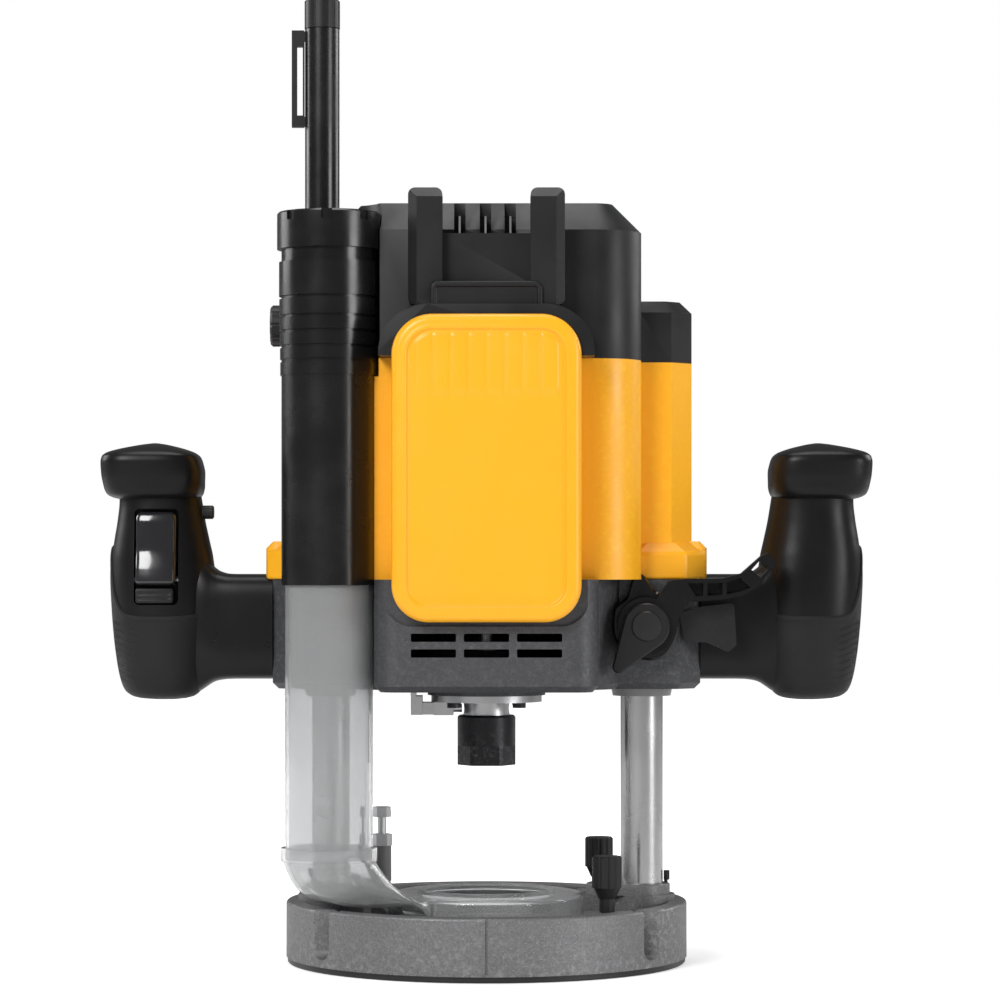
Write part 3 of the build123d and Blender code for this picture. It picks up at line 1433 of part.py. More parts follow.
def handle_piece(side):
    body = ellipse_stack(side, HANDLE_SECTIONS, 0)
    cap = ellipse_stack(side, CAP_SECTIONS, 0)
    core = ellipse_stack(side, HANDLE_SECTIONS, GRIP_WALL)
    grip_zone = Pos(side * HANDLE_X, 0, GRIP_TOP - 50) * Box(60, 60, 100)
    body_upper = body - grip_zone
    with BuildPart() as handle:
        add(body_upper)
        add(core)
        add(cap)
        with BuildSketch(Plane.YZ.offset(side * BOSS_REACH)):
            with Locations((0, (ARM_BOTTOM + ARM_TOP) / 2)):
                RectangleRounded(2 * ARM_HALF, ARM_TOP - ARM_BOTTOM, 9)
        extrude(amount=side * 38)
        # step under the housing's lug
        with Locations((side * (BOSS_REACH + 1.7), 0, ARM_TOP)):
            Box(3.6, 2 * ARM_HALF + 4, 4.6, mode=Mode.SUBTRACT)
        # hollow in the arm for the handle screws
        with Locations((side * 105, 0, 142)):
            Box(14, 27, 30, mode=Mode.SUBTRACT)
        with BuildSketch(Plane.YZ.offset(side * BOSS_REACH)):
            with Locations((-9, 142), (9, 142)):
                Circle(2.2)
        extrude(amount=side * 10, mode=Mode.SUBTRACT)
    return handle


def left_handle_piece():
    handle = handle_piece(-1)
    with BuildPart() as piece:
        add(handle.part)
        # pockets for the trigger and its switch, the slider and the lock-off button
        with Locations((TRIGGER_X, -9.4, 175.2)):
            Box(18, 31.4, 33.6, mode=Mode.SUBTRACT)
        with Locations((-137.2, -19.4, 155.2)):
            Box(21.4, 11.4, 7.4, mode=Mode.SUBTRACT)
        with BuildSketch(Plane.YZ.offset(-110)):
            with Locations((-2, BUTTON_Z)):
                Circle(2.9 + RUN_GAP)
        extrude(amount=-26, mode=Mode.SUBTRACT)
        with BuildSketch(Plane.YZ.offset(-132)):
            with Locations((-12, TRIGGER_PIN_Z)):
                Circle(1.5)
        extrude(amount=-20, mode=Mode.SUBTRACT)
        with BuildSketch(Plane.YZ.offset(-126.2)):
            with Locations((-12, TRIGGER_PIN_Z)):
                Circle(1.5)
        extrude(amount=-20, mode=Mode.SUBTRACT)
    return piece


def handle_grips_piece():
    """The soft overmould round the lower half of each handle."""
    arm_middle = (ARM_BOTTOM + ARM_TOP) / 2
    with BuildPart() as grips:
        for side in SIDES:
            outer = ellipse_stack(side, HANDLE_SECTIONS, 0)
            inner = ellipse_stack(side, HANDLE_SECTIONS, GRIP_WALL)
            above = Pos(side * HANDLE_X, 0, GRIP_TOP + 50) * Box(60, 60, 100, mode=Mode.PRIVATE)
            add(outer - inner - above)
            with BuildSketch(Plane.YZ.offset(side * BOSS_REACH)):
                with Locations((0, arm_middle)):
                    RectangleRounded(2 * ARM_HALF, ARM_TOP - ARM_BOTTOM, 9)
            extrude(amount=side * 38, mode=Mode.SUBTRACT)
    return grips


def handle_screws_piece():
    with BuildPart() as screws:
        for side in SIDES:
            with BuildSketch(Plane.YZ.offset(side * (BOSS_REACH - 8.5))):
                with Locations((-9, 142), (9, 142)):
                    Circle(2)
            extrude(amount=side * 18.5)
            with BuildSketch(Plane.YZ.offset(side * (BOSS_REACH + 8))):
                with Locations((-9, 142), (9, 142)):
                    Circle(3.6)
            extrude(amount=side * 3)
    return screws


def trigger_piece():
    bottom, top = 159.3, 190.3
    with BuildPart() as trigger:
        with BuildSketch(Plane.YZ.offset(TRIGGER_X - 8.5)):
            with BuildLine():
                Polyline((-9, bottom), (-9, top), (-17.6, top), (-18.5, 186))
                Spline((-18.5, 186), (-19.0, 175), (-21.4, 166), (-22.0, 161))
                Polyline((-22.0, 161), (-20.5, bottom), (-9, bottom))
            make_face()
            with Locations((-12, TRIGGER_PIN_Z)):
                Circle(1.5 + RUN_GAP, mode=Mode.SUBTRACT)
        extrude(amount=17)
    return trigger


def trigger_pin_piece():
    with BuildPart() as pin:
        with BuildSketch(Plane.YZ.offset(TRIGGER_X - 11)):
            with Locations((-12, TRIGGER_PIN_Z)):
                Circle(1.48)
        extrude(amount=22)
    return pin


def power_switch_piece():
    with BuildPart() as switch:
        with Locations((TRIGGER_X, 1.2, 172.5)):
            Box(16, 9.6, 22)
        with Locations((TRIGGER_X, -4, 180)):
            Box(6, 1.2, 5)
    return switch


def lock_off_button_piece():
    with BuildPart() as button:
        with BuildSketch(Plane.YZ.offset(-132)):
            with Locations((-2, BUTTON_Z)):
                Circle(2.9)
        extrude(amount=16.2)
        chamfer(button.edges().group_by(Axis.X)[-1], 0.5)
    return button


def lock_on_slider_piece():
    with BuildPart() as slider:
        with Locations((-139.4, -17.4, 155.1)):
            Box(16, 6.8, 6.4)
        chamfer(slider.edges().filter_by(Axis.X).group_by(Axis.Y)[0], 1.2)
        with Locations(*[(x, -20.6, 155.1) for x in (-145, -142.2, -139.4, -136.6, -133.8)]):
            Box(1, 1.2, 10, mode=Mode.SUBTRACT)
    return slider


# ---------------------------------------------------------------- plunge lock lever
LEVER_BACK, LEVER_FRONT = -27.3, -35.3
HUB_LEVER_R = 12.0


def lever_piece():
    cap_front = -38.8
    with BuildPart() as lever:
        with BuildSketch(facing_front(LEVER_BACK)):
            with Locations((LEVER_X, LEVER_Z)):
                Circle(HUB_LEVER_R)
            Polygon(
                (70, 153), (76, 161.5), (82, 162.2), (98, 162.4), (106, 164.5), (114, 171.6), (117, 173),
                (120.4, 168.6), (113.5, 159.8), (106.5, 155.2), (98, 153.6), (84, 152.6), (78, 142),
                align=None,
            )
        extrude(amount=LEVER_BACK - LEVER_FRONT)
        # three pockets along the arm and the square hole at its tip
        with BuildSketch(facing_front(LEVER_FRONT)):
            Polygon((83.5, 160.4), (90, 160.4), (90, 155.2), (87, 155.0), align=None)
            Polygon((91.8, 160.4), (98, 160.6), (98, 155.6), (91.8, 155.2), align=None)
            Polygon((99.8, 160.8), (105.4, 162.6), (109.6, 158.6), (105.6, 157.0), (99.8, 155.8), align=None)
        extrude(amount=-5, mode=Mode.SUBTRACT)
        with BuildSketch(facing_front(LEVER_FRONT)):
            with Locations((113.6, 166.2)):
                Rectangle(5, 5, rotation=48)
        extrude(amount=-10, mode=Mode.SUBTRACT)
        # pivot shaft into the carriage
        with BuildSketch(facing_front(LEVER_BACK)):
            with Locations((LEVER_X, LEVER_Z)):
                Circle(4)
        extrude(amount=-14)
        with BuildSketch(facing_front(LEVER_FRONT - 0.1)):
            with Locations((LEVER_X, LEVER_Z)):
                Circle(2)
        extrude(amount=-12, mode=Mode.SUBTRACT)
    return lever


def lever_clamp_knob_piece():
    """The round cap with the pointed lobe that sets the lever's resting place."""
    lobe = math.radians(235.7)
    reach = 20.5
    tip = (LEVER_X + reach * math.cos(lobe), LEVER_Z + reach * math.sin(lobe))
    with BuildPart() as knob:
        with BuildSketch(facing_front(LEVER_FRONT)):
            with Locations((LEVER_X, LEVER_Z)):
                Circle(9.6)
            with Locations(tip):
                Circle(2.6)
            make_hull()
        extrude(amount=3.6)
        chamfer(knob.edges().group_by(Axis.Y)[0], 0.6)
        with BuildSketch(facing_front(LEVER_FRONT - 5)):
            with Locations((LEVER_X, LEVER_Z)):
                Circle(2 + SEAT_GAP)
        extrude(amount=-8, mode=Mode.SUBTRACT)
        with BuildSketch(facing_front(LEVER_FRONT - 3.6)):
            with Locations((LEVER_X, LEVER_Z)):
                Circle(6.3)
        extrude(amount=-1.2, mode=Mode.SUBTRACT)
    return knob


def lever_screw_piece():
    with BuildPart() as screw:
        with BuildSketch(facing_front(LEVER_FRONT - 2.4)):
            with Locations((LEVER_X, LEVER_Z)):
                Circle(6.2)
        extrude(amount=1.9)
        chamfer(screw.edges().group_by(Axis.Y)[0], 0.4)
        with BuildSketch(facing_front(LEVER_FRONT - 2.4)):
            with Locations((LEVER_X, LEVER_Z)):
                Circle(1.98)
        extrude(amount=-13)
    return screw


def lever_stop_plate_piece():
    with BuildPart() as plate:
        with BuildSketch(facing_front(-24.2)):
            Polygon(
                (80.5, 148), (90, 150.6), (103.5, 152), (104.5, 134.5),
                (101, 131.5), (92, 135.6), (82.5, 136),
                align=None,
            )
        extrude(amount=2.6)
        fillet(plate.edges().filter_by(Axis.Y), 1.4)
        with BuildSketch(facing_front(-ARM_HALF)):
            with Locations((97, 142.5)):
                Rectangle(8, 10)
        extrude(amount=7.3)
    return plate


# ---------------------------------------------------------------- the parts as files
PIECES = {
    "base_casting": base_casting_piece,
    "sub_base": sub_base_piece,
    "sub_base_screws": sub_base_screws_piece,
    "guide_columns": guide_columns_piece,
    "plunge_springs": plunge_springs_piece,
    "column_set_screws": column_set_screws_piece,
    "dust_hood": dust_hood_piece,
    "dust_tube": dust_tube_piece,
    "dust_hood_screws": dust_hood_screws_piece,
    "turret": turret_piece,
    "turret_pivot_screw": turret_pivot_screw_piece,
    "turret_lock_nuts": turret_lock_nuts_piece,
    "turret_stop_screws": turret_stop_screws_piece,
    "carriage_casting": carriage_casting_piece,
    "guide_bushes": guide_bushes_piece,
    "plunge_lock_plug": plunge_lock_plug_piece,
    "column_wipers": column_wipers_piece,
    "motor_housing": motor_housing_piece,
    "front_panel": front_panel_piece,
    "top_housing": top_housing_piece,
    "housing_screws": housing_screws_piece,
    "outer_dust_tube": outer_dust_tube_piece,
    "hose_collar": hose_collar_piece,
    "depth_guide": depth_guide_piece,
    "depth_clamp_knob": depth_clamp_knob_piece,
    "depth_sleeve": depth_sleeve_piece,
    "depth_pointer": depth_pointer_piece,
    "depth_rod": depth_rod_piece,
    "fine_adjust_knob": fine_adjust_knob_piece,
    "spindle": spindle_piece,
    "spindle_bearings": spindle_bearings_piece,
    "collet": collet_piece,
    "collet_nut": collet_nut_piece,
    "bearing_retainer": bearing_retainer_piece,
    "bearing_retainer_screws": bearing_retainer_screws_piece,
    "spindle_lock": spindle_lock_piece,
    "stator": stator_piece,
    "motor_windings": motor_windings_piece,
    "rotor": rotor_piece,
    "cooling_fan": cooling_fan_piece,
    "motor_end_bell": motor_end_bell_piece,
    "control_module": control_module_piece,
    "terminal_block": terminal_block_piece,
    "terminal_blades": terminal_blades_piece,
    "speed_dial": speed_dial_piece,
    "left_handle": left_handle_piece,
    "handle_grips": handle_grips_piece,
    "handle_screws": handle_screws_piece,
    "trigger": trigger_piece,
    "trigger_pin": trigger_pin_piece,
    "power_switch": power_switch_piece,
    "lock_off_button": lock_off_button_piece,
    "lock_on_slider": lock_on_slider_piece,
    "plunge_lock_lever": lever_piece,
    "lever_clamp_knob": lever_clamp_knob_piece,
    "lever_screw": lever_screw_piece,
    "lever_stop_plate": lever_stop_plate_piece,
}

for piece_name, make_piece in PIECES.items():
    write(make_piece(), piece_name)

for clamp_name, clamp_side in (("front_rod_clamp", -1), ("rear_rod_clamp", 1)):
    write(thumbscrew_piece(clamp_side), clamp_name)

write(handle_piece(1), "right_handle")
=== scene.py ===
"""Looks of the plunge router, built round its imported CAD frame. Units are metres."""

import json
import math

import bmesh
import bpy
import numpy as np
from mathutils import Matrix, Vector


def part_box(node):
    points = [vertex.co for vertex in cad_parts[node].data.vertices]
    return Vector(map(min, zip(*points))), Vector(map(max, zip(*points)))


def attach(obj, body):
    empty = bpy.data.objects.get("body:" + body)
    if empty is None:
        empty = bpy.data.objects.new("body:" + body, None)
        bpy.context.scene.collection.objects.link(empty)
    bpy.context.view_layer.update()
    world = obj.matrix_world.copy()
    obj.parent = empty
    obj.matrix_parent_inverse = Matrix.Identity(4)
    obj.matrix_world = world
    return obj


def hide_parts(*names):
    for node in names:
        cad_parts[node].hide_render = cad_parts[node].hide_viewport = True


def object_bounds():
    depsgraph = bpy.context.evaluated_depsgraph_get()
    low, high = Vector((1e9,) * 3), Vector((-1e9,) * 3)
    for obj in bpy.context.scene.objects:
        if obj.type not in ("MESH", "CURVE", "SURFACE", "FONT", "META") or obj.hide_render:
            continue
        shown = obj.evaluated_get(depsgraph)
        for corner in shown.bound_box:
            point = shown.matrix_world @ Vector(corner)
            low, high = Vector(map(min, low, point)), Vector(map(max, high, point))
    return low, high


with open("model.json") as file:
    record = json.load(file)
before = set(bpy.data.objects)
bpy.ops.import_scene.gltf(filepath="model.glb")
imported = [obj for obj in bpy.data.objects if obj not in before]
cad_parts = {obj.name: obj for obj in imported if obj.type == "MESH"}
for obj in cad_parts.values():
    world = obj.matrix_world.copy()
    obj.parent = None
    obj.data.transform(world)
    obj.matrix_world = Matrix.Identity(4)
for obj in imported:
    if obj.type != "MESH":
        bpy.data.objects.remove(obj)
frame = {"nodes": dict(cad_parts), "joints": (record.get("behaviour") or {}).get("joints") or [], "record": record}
CAD_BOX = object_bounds()
NODES = frame["nodes"]
JOINTS = {joint["name"]: joint for joint in frame["joints"]}
MM = 0.001


def corners(node):
    """A node's lowest and highest corners at rest, in millimetres."""
    return [np.array(corner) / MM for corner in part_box(node)]


# ---------------------------------------------------------------- materials
class Finish:
    """A node material under construction: a principled shader plus small helpers that add nodes."""

    def __init__(self, name, color, roughness, metallic=0.0):
        self.material = bpy.data.materials.new(name)
        self.material.use_nodes = True
        self.nodes = self.material.node_tree.nodes
        self.links = self.material.node_tree.links
        self.shader = self.nodes["Principled BSDF"]
        self.shader.inputs["Base Color"].default_value = (*color, 1)
        self.shader.inputs["Roughness"].default_value = roughness
        self.shader.inputs["Metallic"].default_value = metallic
        self.material.diffuse_color = (*color, 1)
        self.coords = self.nodes.new("ShaderNodeTexCoord")

    def socket(self, name, value):
        """Sets one of the shader's own values."""
        self.shader.inputs[name].default_value = value

    def noise(self, scale, detail=3.0, stretch=None, roughness=0.55):
        """Cloudy noise from 0 to 1. Scale is in waves per metre."""
        texture = self.nodes.new("ShaderNodeTexNoise")
        texture.inputs["Scale"].default_value = scale
        texture.inputs["Detail"].default_value = detail
        texture.inputs["Roughness"].default_value = roughness
        self.place(texture, stretch)
        return texture.outputs["Fac"]

    def cells(self, scale):
        """Distance to the middle of the nearest of many small cells."""
        texture = self.nodes.new("ShaderNodeTexVoronoi")
        texture.inputs["Scale"].default_value = scale
        self.place(texture, None)
        return texture.outputs["Distance"]

    def distance(self):
        """Distance from the object's own origin, in metres."""
        node = self.nodes.new("ShaderNodeVectorMath")
        node.operation = "LENGTH"
        self.links.new(self.coords.outputs["Object"], node.inputs[0])
        return node.outputs["Value"]

    def place(self, texture, stretch):
        """Lays a texture in the object's own space, stretched where that is asked for."""
        if stretch is None:
            self.links.new(self.coords.outputs["Object"], texture.inputs["Vector"])
            return
        mapping = self.nodes.new("ShaderNodeMapping")
        mapping.inputs["Scale"].default_value = stretch
        self.links.new(self.coords.outputs["Object"], mapping.inputs["Vector"])
        self.links.new(mapping.outputs["Vector"], texture.inputs["Vector"])

    def ramp(self, factor, low, high, start=0.0, end=1.0):
        """A two-stop ramp. Low and high are colours or grey levels."""
        node = self.nodes.new("ShaderNodeValToRGB")
        stops = node.color_ramp.elements
        stops[0].position, stops[1].position = start, end
        for stop, value in zip(stops, (low, high)):
            stop.color = (*value, 1) if isinstance(value, tuple) else (value, value, value, 1)
        self.links.new(factor, node.inputs["Fac"])
        return node.outputs["Color"]

    def mix(self, factor, a, b):
        """A where the factor is 0 and B where it is 1. Each is a colour or another node's output."""
        node = self.nodes.new("ShaderNodeMix")
        node.data_type = "RGBA"
        self.links.new(factor, node.inputs["Factor"])
        for key, value in (("A", a), ("B", b)):
            target = next(s for s in node.inputs if s.name == key and s.type == "RGBA")
            if isinstance(value, tuple):
                target.default_value = (*value, 1)
            else:
                self.links.new(value, target)
        return next(s for s in node.outputs if s.type == "RGBA")

    def edge_wear(self, start=0.52, end=0.62):
        """Bright along convex edges, broken up by a coarse noise."""
        geometry = self.nodes.new("ShaderNodeNewGeometry")
        edges = self.ramp(geometry.outputs["Pointiness"], 0.0, 0.6, start, end)
        patches = self.ramp(self.noise(420, 5), 0.0, 1.0, 0.5, 0.66)
        return self.maths("MULTIPLY", edges, patches)

    def maths(self, operation, first, second):
        """Two outputs joined by an operation such as MULTIPLY."""
        node = self.nodes.new("ShaderNodeMath")
        node.operation = operation
        self.links.new(first, node.inputs[0])
        self.links.new(second, node.inputs[1])
        return node.outputs["Value"]

    def color(self, source):
        self.links.new(source, self.shader.inputs["Base Color"])

    def roughness(self, source):
        self.links.new(source, self.shader.inputs["Roughness"])

    def bump(self, height, strength=0.2, distance=0.0001, after=None):
        """Relief from a height, on top of an earlier relief where after is given."""
        node = self.nodes.new("ShaderNodeBump")
        node.inputs["Strength"].default_value = strength
        node.inputs["Distance"].default_value = distance
        self.links.new(height, node.inputs["Height"])
        if after is not None:
            self.links.new(after, node.inputs["Normal"])
        self.links.new(node.outputs["Normal"], self.shader.inputs["Normal"])
        return node.outputs["Normal"]


def moulded_plastic(name, color, lighter, roughness, grain=2600, depth=0.25, specular=0.4):
    """Injection-moulded plastic: a fine spark-eroded grain, a slow shift of shade and rubbed edges."""
    finish = Finish(name, color, roughness)
    shade = finish.ramp(finish.noise(9, 2), color, lighter, 0.35, 0.75)
    rubbed = tuple(min(1, c * 1.25 + 0.004) for c in lighter)
    finish.color(finish.mix(finish.edge_wear(0.55, 0.7), shade, rubbed))
    finish.roughness(finish.ramp(finish.noise(40, 5), roughness - 0.07, roughness + 0.08, 0.3, 0.7))
    coarse = finish.bump(finish.noise(grain, 4), depth, 0.00006)
    finish.bump(finish.cells(grain * 0.55), depth * 0.5, 0.00004, after=coarse)
    finish.socket("Specular IOR Level", specular)
    return finish.material


def soft_rubber(name):
    """Overmoulded grip rubber: dull, with a fine pebble."""
    finish = Finish(name, (0.01, 0.01, 0.0105), 0.6)
    finish.color(finish.ramp(finish.noise(30, 5), (0.008, 0.008, 0.0085), (0.014, 0.014, 0.0145), 0.3, 0.75))
    finish.roughness(finish.ramp(finish.noise(120, 4), 0.52, 0.7, 0.3, 0.7))
    finish.bump(finish.cells(1500), 0.3, 0.00008)
    finish.socket("Sheen Weight", 0.03)
    finish.socket("Sheen Roughness", 0.5)
    finish.socket("Specular IOR Level", 0.25)
    return finish.material


def gloss_plastic(name):
    """Polished black plastic under a thin coat."""
    finish = Finish(name, (0.014, 0.014, 0.016), 0.16)
    finish.roughness(finish.ramp(finish.noise(60, 4), 0.12, 0.24, 0.35, 0.7))
    finish.color(finish.ramp(finish.noise(14, 2), (0.012, 0.012, 0.014), (0.02, 0.02, 0.022), 0.3, 0.7))
    finish.bump(finish.noise(25, 2), 0.05, 0.0002)
    finish.socket("Coat Weight", 0.4)
    finish.socket("Coat Roughness", 0.08)
    return finish.material


def cast_aluminium(name, dark, light, fleck, roughness):
    """Vibro-finished casting: mottled grey with small bright flecks and a pebbled skin."""
    finish = Finish(name, light, roughness, 0.55)
    mottle = finish.ramp(finish.noise(1100, 8, roughness=0.75), dark, light, 0.32, 0.68)
    flecks = finish.ramp(finish.noise(2600, 2), 0.0, 1.0, 0.6, 0.72)
    finish.color(finish.mix(finish.edge_wear(0.54, 0.64), finish.mix(flecks, mottle, fleck), fleck))
    finish.roughness(finish.ramp(finish.noise(700, 4), roughness - 0.1, roughness + 0.14, 0.3, 0.7))
    skin = finish.bump(finish.noise(900, 5), 0.35, 0.00022)
    finish.bump(finish.cells(520), 0.16, 0.0002, after=skin)
    return finish.material


def ground_steel(name, color, roughness):
    """Turned or ground steel, with fine rings round Z."""
    finish = Finish(name, color, roughness, 1.0)
    rings = finish.noise(3, 4, stretch=(2.0, 2.0, 1600.0))
    finish.roughness(finish.ramp(finish.noise(60, 4), roughness - 0.04, roughness + 0.06, 0.3, 0.7))
    finish.color(finish.ramp(finish.noise(24, 4), tuple(c * 0.86 for c in color), color, 0.3, 0.7))
    finish.bump(rings, 0.06, 0.00001)
    return finish.material


def black_oxide(name):
    """Blackened steel, rubbed bright along its edges."""
    finish = Finish(name, (0.035, 0.035, 0.037), 0.36, 0.85)
    shade = finish.ramp(finish.noise(2200, 6), (0.022, 0.022, 0.024), (0.032, 0.032, 0.034), 0.3, 0.75)
    finish.color(finish.mix(finish.edge_wear(0.56, 0.68), shade, (0.16, 0.16, 0.165)))
    finish.roughness(finish.ramp(finish.noise(300, 4), 0.28, 0.46, 0.3, 0.7))
    finish.bump(finish.noise(700, 3), 0.12, 0.00008)
    return finish.material


def clear_polycarbonate(name):
    """Clear moulded plastic, faintly grey, with flow lines and dust haze in its roughness."""
    finish = Finish(name, (0.7, 0.7, 0.7), 0.05)
    finish.socket("Transmission Weight", 0.8)
    finish.socket("IOR", 1.3)
    finish.color(finish.ramp(finish.noise(10, 3), (0.66, 0.665, 0.67), (0.74, 0.742, 0.745), 0.35, 0.7))
    finish.roughness(finish.ramp(finish.noise(70, 5), 0.03, 0.12, 0.4, 0.75))
    finish.bump(finish.noise(14, 2, stretch=(1.0, 1.0, 0.25)), 0.08, 0.0006)
    return finish.material


def sintered(name, color):
    """Porous sintered metal."""
    finish = Finish(name, color, 0.42, 0.9)
    finish.color(finish.ramp(finish.noise(400, 4), tuple(c * 0.7 for c in color), color, 0.3, 0.7))
    finish.bump(finish.noise(900, 3), 0.2, 0.0001)
    return finish.material


def wound_copper(name):
    """Enamelled wire, wound in strands that lie round Z."""
    finish = Finish(name, (0.6, 0.25, 0.1), 0.3, 0.9)
    strands = finish.noise(6, 2, stretch=(60.0, 60.0, 400.0))
    finish.color(finish.ramp(strands, (0.35, 0.12, 0.05), (0.75, 0.36, 0.16), 0.35, 0.65))
    finish.bump(strands, 0.6, 0.0004)
    return finish.material


def laminated_steel(name):
    """A stack of thin steel sheets, seen as lines across Z."""
    finish = Finish(name, (0.22, 0.22, 0.23), 0.5, 0.8)
    layers = finish.noise(2, 1, stretch=(1.0, 1.0, 900.0))
    finish.color(finish.ramp(layers, (0.12, 0.12, 0.13), (0.3, 0.3, 0.31), 0.4, 0.6))
    finish.bump(layers, 0.4, 0.0002)
    return finish.material


def pale_paper(name):
    """Floor sheet, brighter away from the object so that it runs into the white backdrop."""
    finish = Finish(name, (0.86, 0.86, 0.86), 0.55)
    finish.color(finish.ramp(finish.noise(3, 3), (0.85, 0.85, 0.85), (0.88, 0.88, 0.88), 0.3, 0.7))
    finish.socket("Specular IOR Level", 0.1)
    finish.socket("Emission Color", (1, 1, 1, 1))
    glow = finish.ramp(finish.distance(), 0.45, 1.0, 0.12, 0.62)
    path = finish.nodes.new("ShaderNodeLightPath")
    seen = finish.maths("MAXIMUM", path.outputs["Is Camera Ray"], path.outputs["Is Transmission Ray"])
    finish.links.new(finish.maths("MULTIPLY", glow, seen), finish.shader.inputs["Emission Strength"])
    return finish.material


YELLOW, YELLOW_LIGHT = (0.93, 0.42, 0.012), (0.95, 0.445, 0.015)
BLACK, BLACK_LIGHT = (0.0085, 0.0085, 0.0092), (0.013, 0.013, 0.0138)
DEEP_BLACK, DEEP_BLACK_LIGHT = (0.006, 0.006, 0.0065), (0.009, 0.009, 0.0095)
PHENOLIC, PHENOLIC_LIGHT = (0.014, 0.014, 0.014), (0.022, 0.022, 0.022)
GREY, GREY_LIGHT = (0.17, 0.17, 0.17), (0.21, 0.21, 0.21)
CAST, CAST_LIGHT, CAST_FLECK = (0.12, 0.12, 0.124), (0.23, 0.23, 0.234), (0.38, 0.38, 0.38)
DARK_CAST, DARK_CAST_LIGHT, DARK_CAST_FLECK = (0.055, 0.056, 0.06), (0.085, 0.086, 0.092), (0.13, 0.13, 0.14)

FINISHES = {
    "cast_aluminium": cast_aluminium("cast_aluminium", CAST, CAST_LIGHT, CAST_FLECK, 0.5),
    "dark_casting": cast_aluminium("dark_casting", DARK_CAST, DARK_CAST_LIGHT, DARK_CAST_FLECK, 0.5),
    "chromed_steel": ground_steel("chromed_steel", (0.5, 0.5, 0.5), 0.24),
    "bright_steel": ground_steel("bright_steel", (0.55, 0.55, 0.56), 0.3),
    "black_steel": black_oxide("black_steel"),
    "yellow_plastic": moulded_plastic("yellow_plastic", YELLOW, YELLOW_LIGHT, 0.36, 2400, 0.1),
    "black_plastic": moulded_plastic("black_plastic", BLACK, BLACK_LIGHT, 0.42, specular=0.32),
    "handle_black": moulded_plastic("handle_black", DEEP_BLACK, DEEP_BLACK_LIGHT, 0.34, specular=0.2),
    "satin_black": moulded_plastic("satin_black", DEEP_BLACK, DEEP_BLACK_LIGHT, 0.24, depth=0.08),
    "grey_plastic": moulded_plastic("grey_plastic", GREY, GREY_LIGHT, 0.4),
    "black_rubber": soft_rubber("black_rubber"),
    "gloss_black": gloss_plastic("gloss_black"),
    "clear_plastic": clear_polycarbonate("clear_plastic"),
    "phenolic": moulded_plastic("phenolic", PHENOLIC, PHENOLIC_LIGHT, 0.34, 1200, 0.1),
    "bronze": sintered("bronze", (0.55, 0.32, 0.13)),
    "copper": wound_copper("copper"),
    "lamination": laminated_steel("lamination"),
}

# CAD nodes with another shade than their slot's.
REPAINTED = {
    "carriage_casting": "dark_casting",
    "lever_screw": "phenolic",
    "turret": "grey_plastic",
    "column_wipers": "grey_plastic",
    "outer_dust_tube": "satin_black",
    "hose_collar": "satin_black",
    "depth_sleeve": "satin_black",
    "plunge_lock_lever": "handle_black",
    "lever_clamp_knob": "black_plastic",
    "lever_stop_plate": "black_plastic",
}

# Width in millimetres of the round on a CAD node's sharp edges.
EDGE_ROUNDS = {
    "base_casting": 0.9, "carriage_casting": 1.4, "motor_housing": 1.6, "top_housing": 1.5,
    "column_wipers": 0.6, "turret": 0.4, "spindle_lock": 0.5, "terminal_block": 0.3,
    "bearing_retainer": 0.3, "outer_dust_tube": 0.5, "depth_guide": 0.8, "depth_sleeve": 0.4,
    "collet_nut": 0.5, "speed_dial": 0.5, "turret_lock_nuts": 0.4, "turret_stop_screws": 0.3,
    "sub_base": 0.4, "lever_stop_plate": 0.4,
}


def soften_edges(piece, width, segments=3, angle=32):
    """Rounds a piece's sharp edges. Width is in millimetres."""
    bevel = piece.modifiers.new("edge_round", "BEVEL")
    bevel.width = width * MM
    bevel.segments = segments
    bevel.limit_method = "ANGLE"
    bevel.angle_limit = math.radians(angle)
    bevel.miter_outer = "MITER_ARC"


def shade_smooth(mesh):
    """Smooth shading over every face."""
    for polygon in mesh.polygons:
        polygon.use_smooth = True


def dress_cad_nodes():
    """Gives every CAD node its finish, and the sharp edges of those listed in EDGE_ROUNDS a small round."""
    slots = {row["node"]: row["material_slot"] for row in frame["record"]["subparts"]}
    for name, node in NODES.items():
        node.data.materials.clear()
        node.data.materials.append(FINISHES[REPAINTED.get(name, slots[name])])
        if name in EDGE_ROUNDS:
            soften_edges(node, EDGE_ROUNDS[name])
        shade_smooth(node.data)


dress_cad_nodes()


# ---------------------------------------------------------------- mesh helpers
DOUBLED = 0.00001


def smooth_curve(stations, values):
    """A monotone cubic through the stations, as a function that takes an array."""
    x, y = np.array(stations, float), np.array(values, float)
    step = np.diff(x)
    slope = np.diff(y) / step
    tangent = np.zeros_like(y)
    tangent[0], tangent[-1] = slope[0], slope[-1]
    for i in range(1, len(x) - 1):
        if slope[i - 1] * slope[i] > 0:
            before, after = 2 * step[i] + step[i - 1], step[i] + 2 * step[i - 1]
            tangent[i] = (before + after) / (before / slope[i - 1] + after / slope[i])

    def curve(at):
        at = np.clip(at, x[0], x[-1])
        i = np.clip(np.searchsorted(x, at) - 1, 0, len(step) - 1)
        t = (at - x[i]) / step[i]
        return (
            y[i] * (1 + 2 * t) * (1 - t) ** 2
            + step[i] * tangent[i] * t * (1 - t) ** 2
            + y[i + 1] * t * t * (3 - 2 * t)
            + step[i] * tangent[i + 1] * t * t * (t - 1)
        )

    return curve


def smoothstep(low, high, value):
    """0 up to low, 1 from high, and a smooth rise between them."""
    t = np.clip((value - low) / (high - low), 0, 1)
    return t * t * (3 - 2 * t)


def rounded_rim(edge, radius):
    """How far a face falls back near its edge, for a rim of that radius."""
    return radius * (1 - np.sqrt(1 - (1 - np.clip(edge / radius, 0, 1)) ** 2))


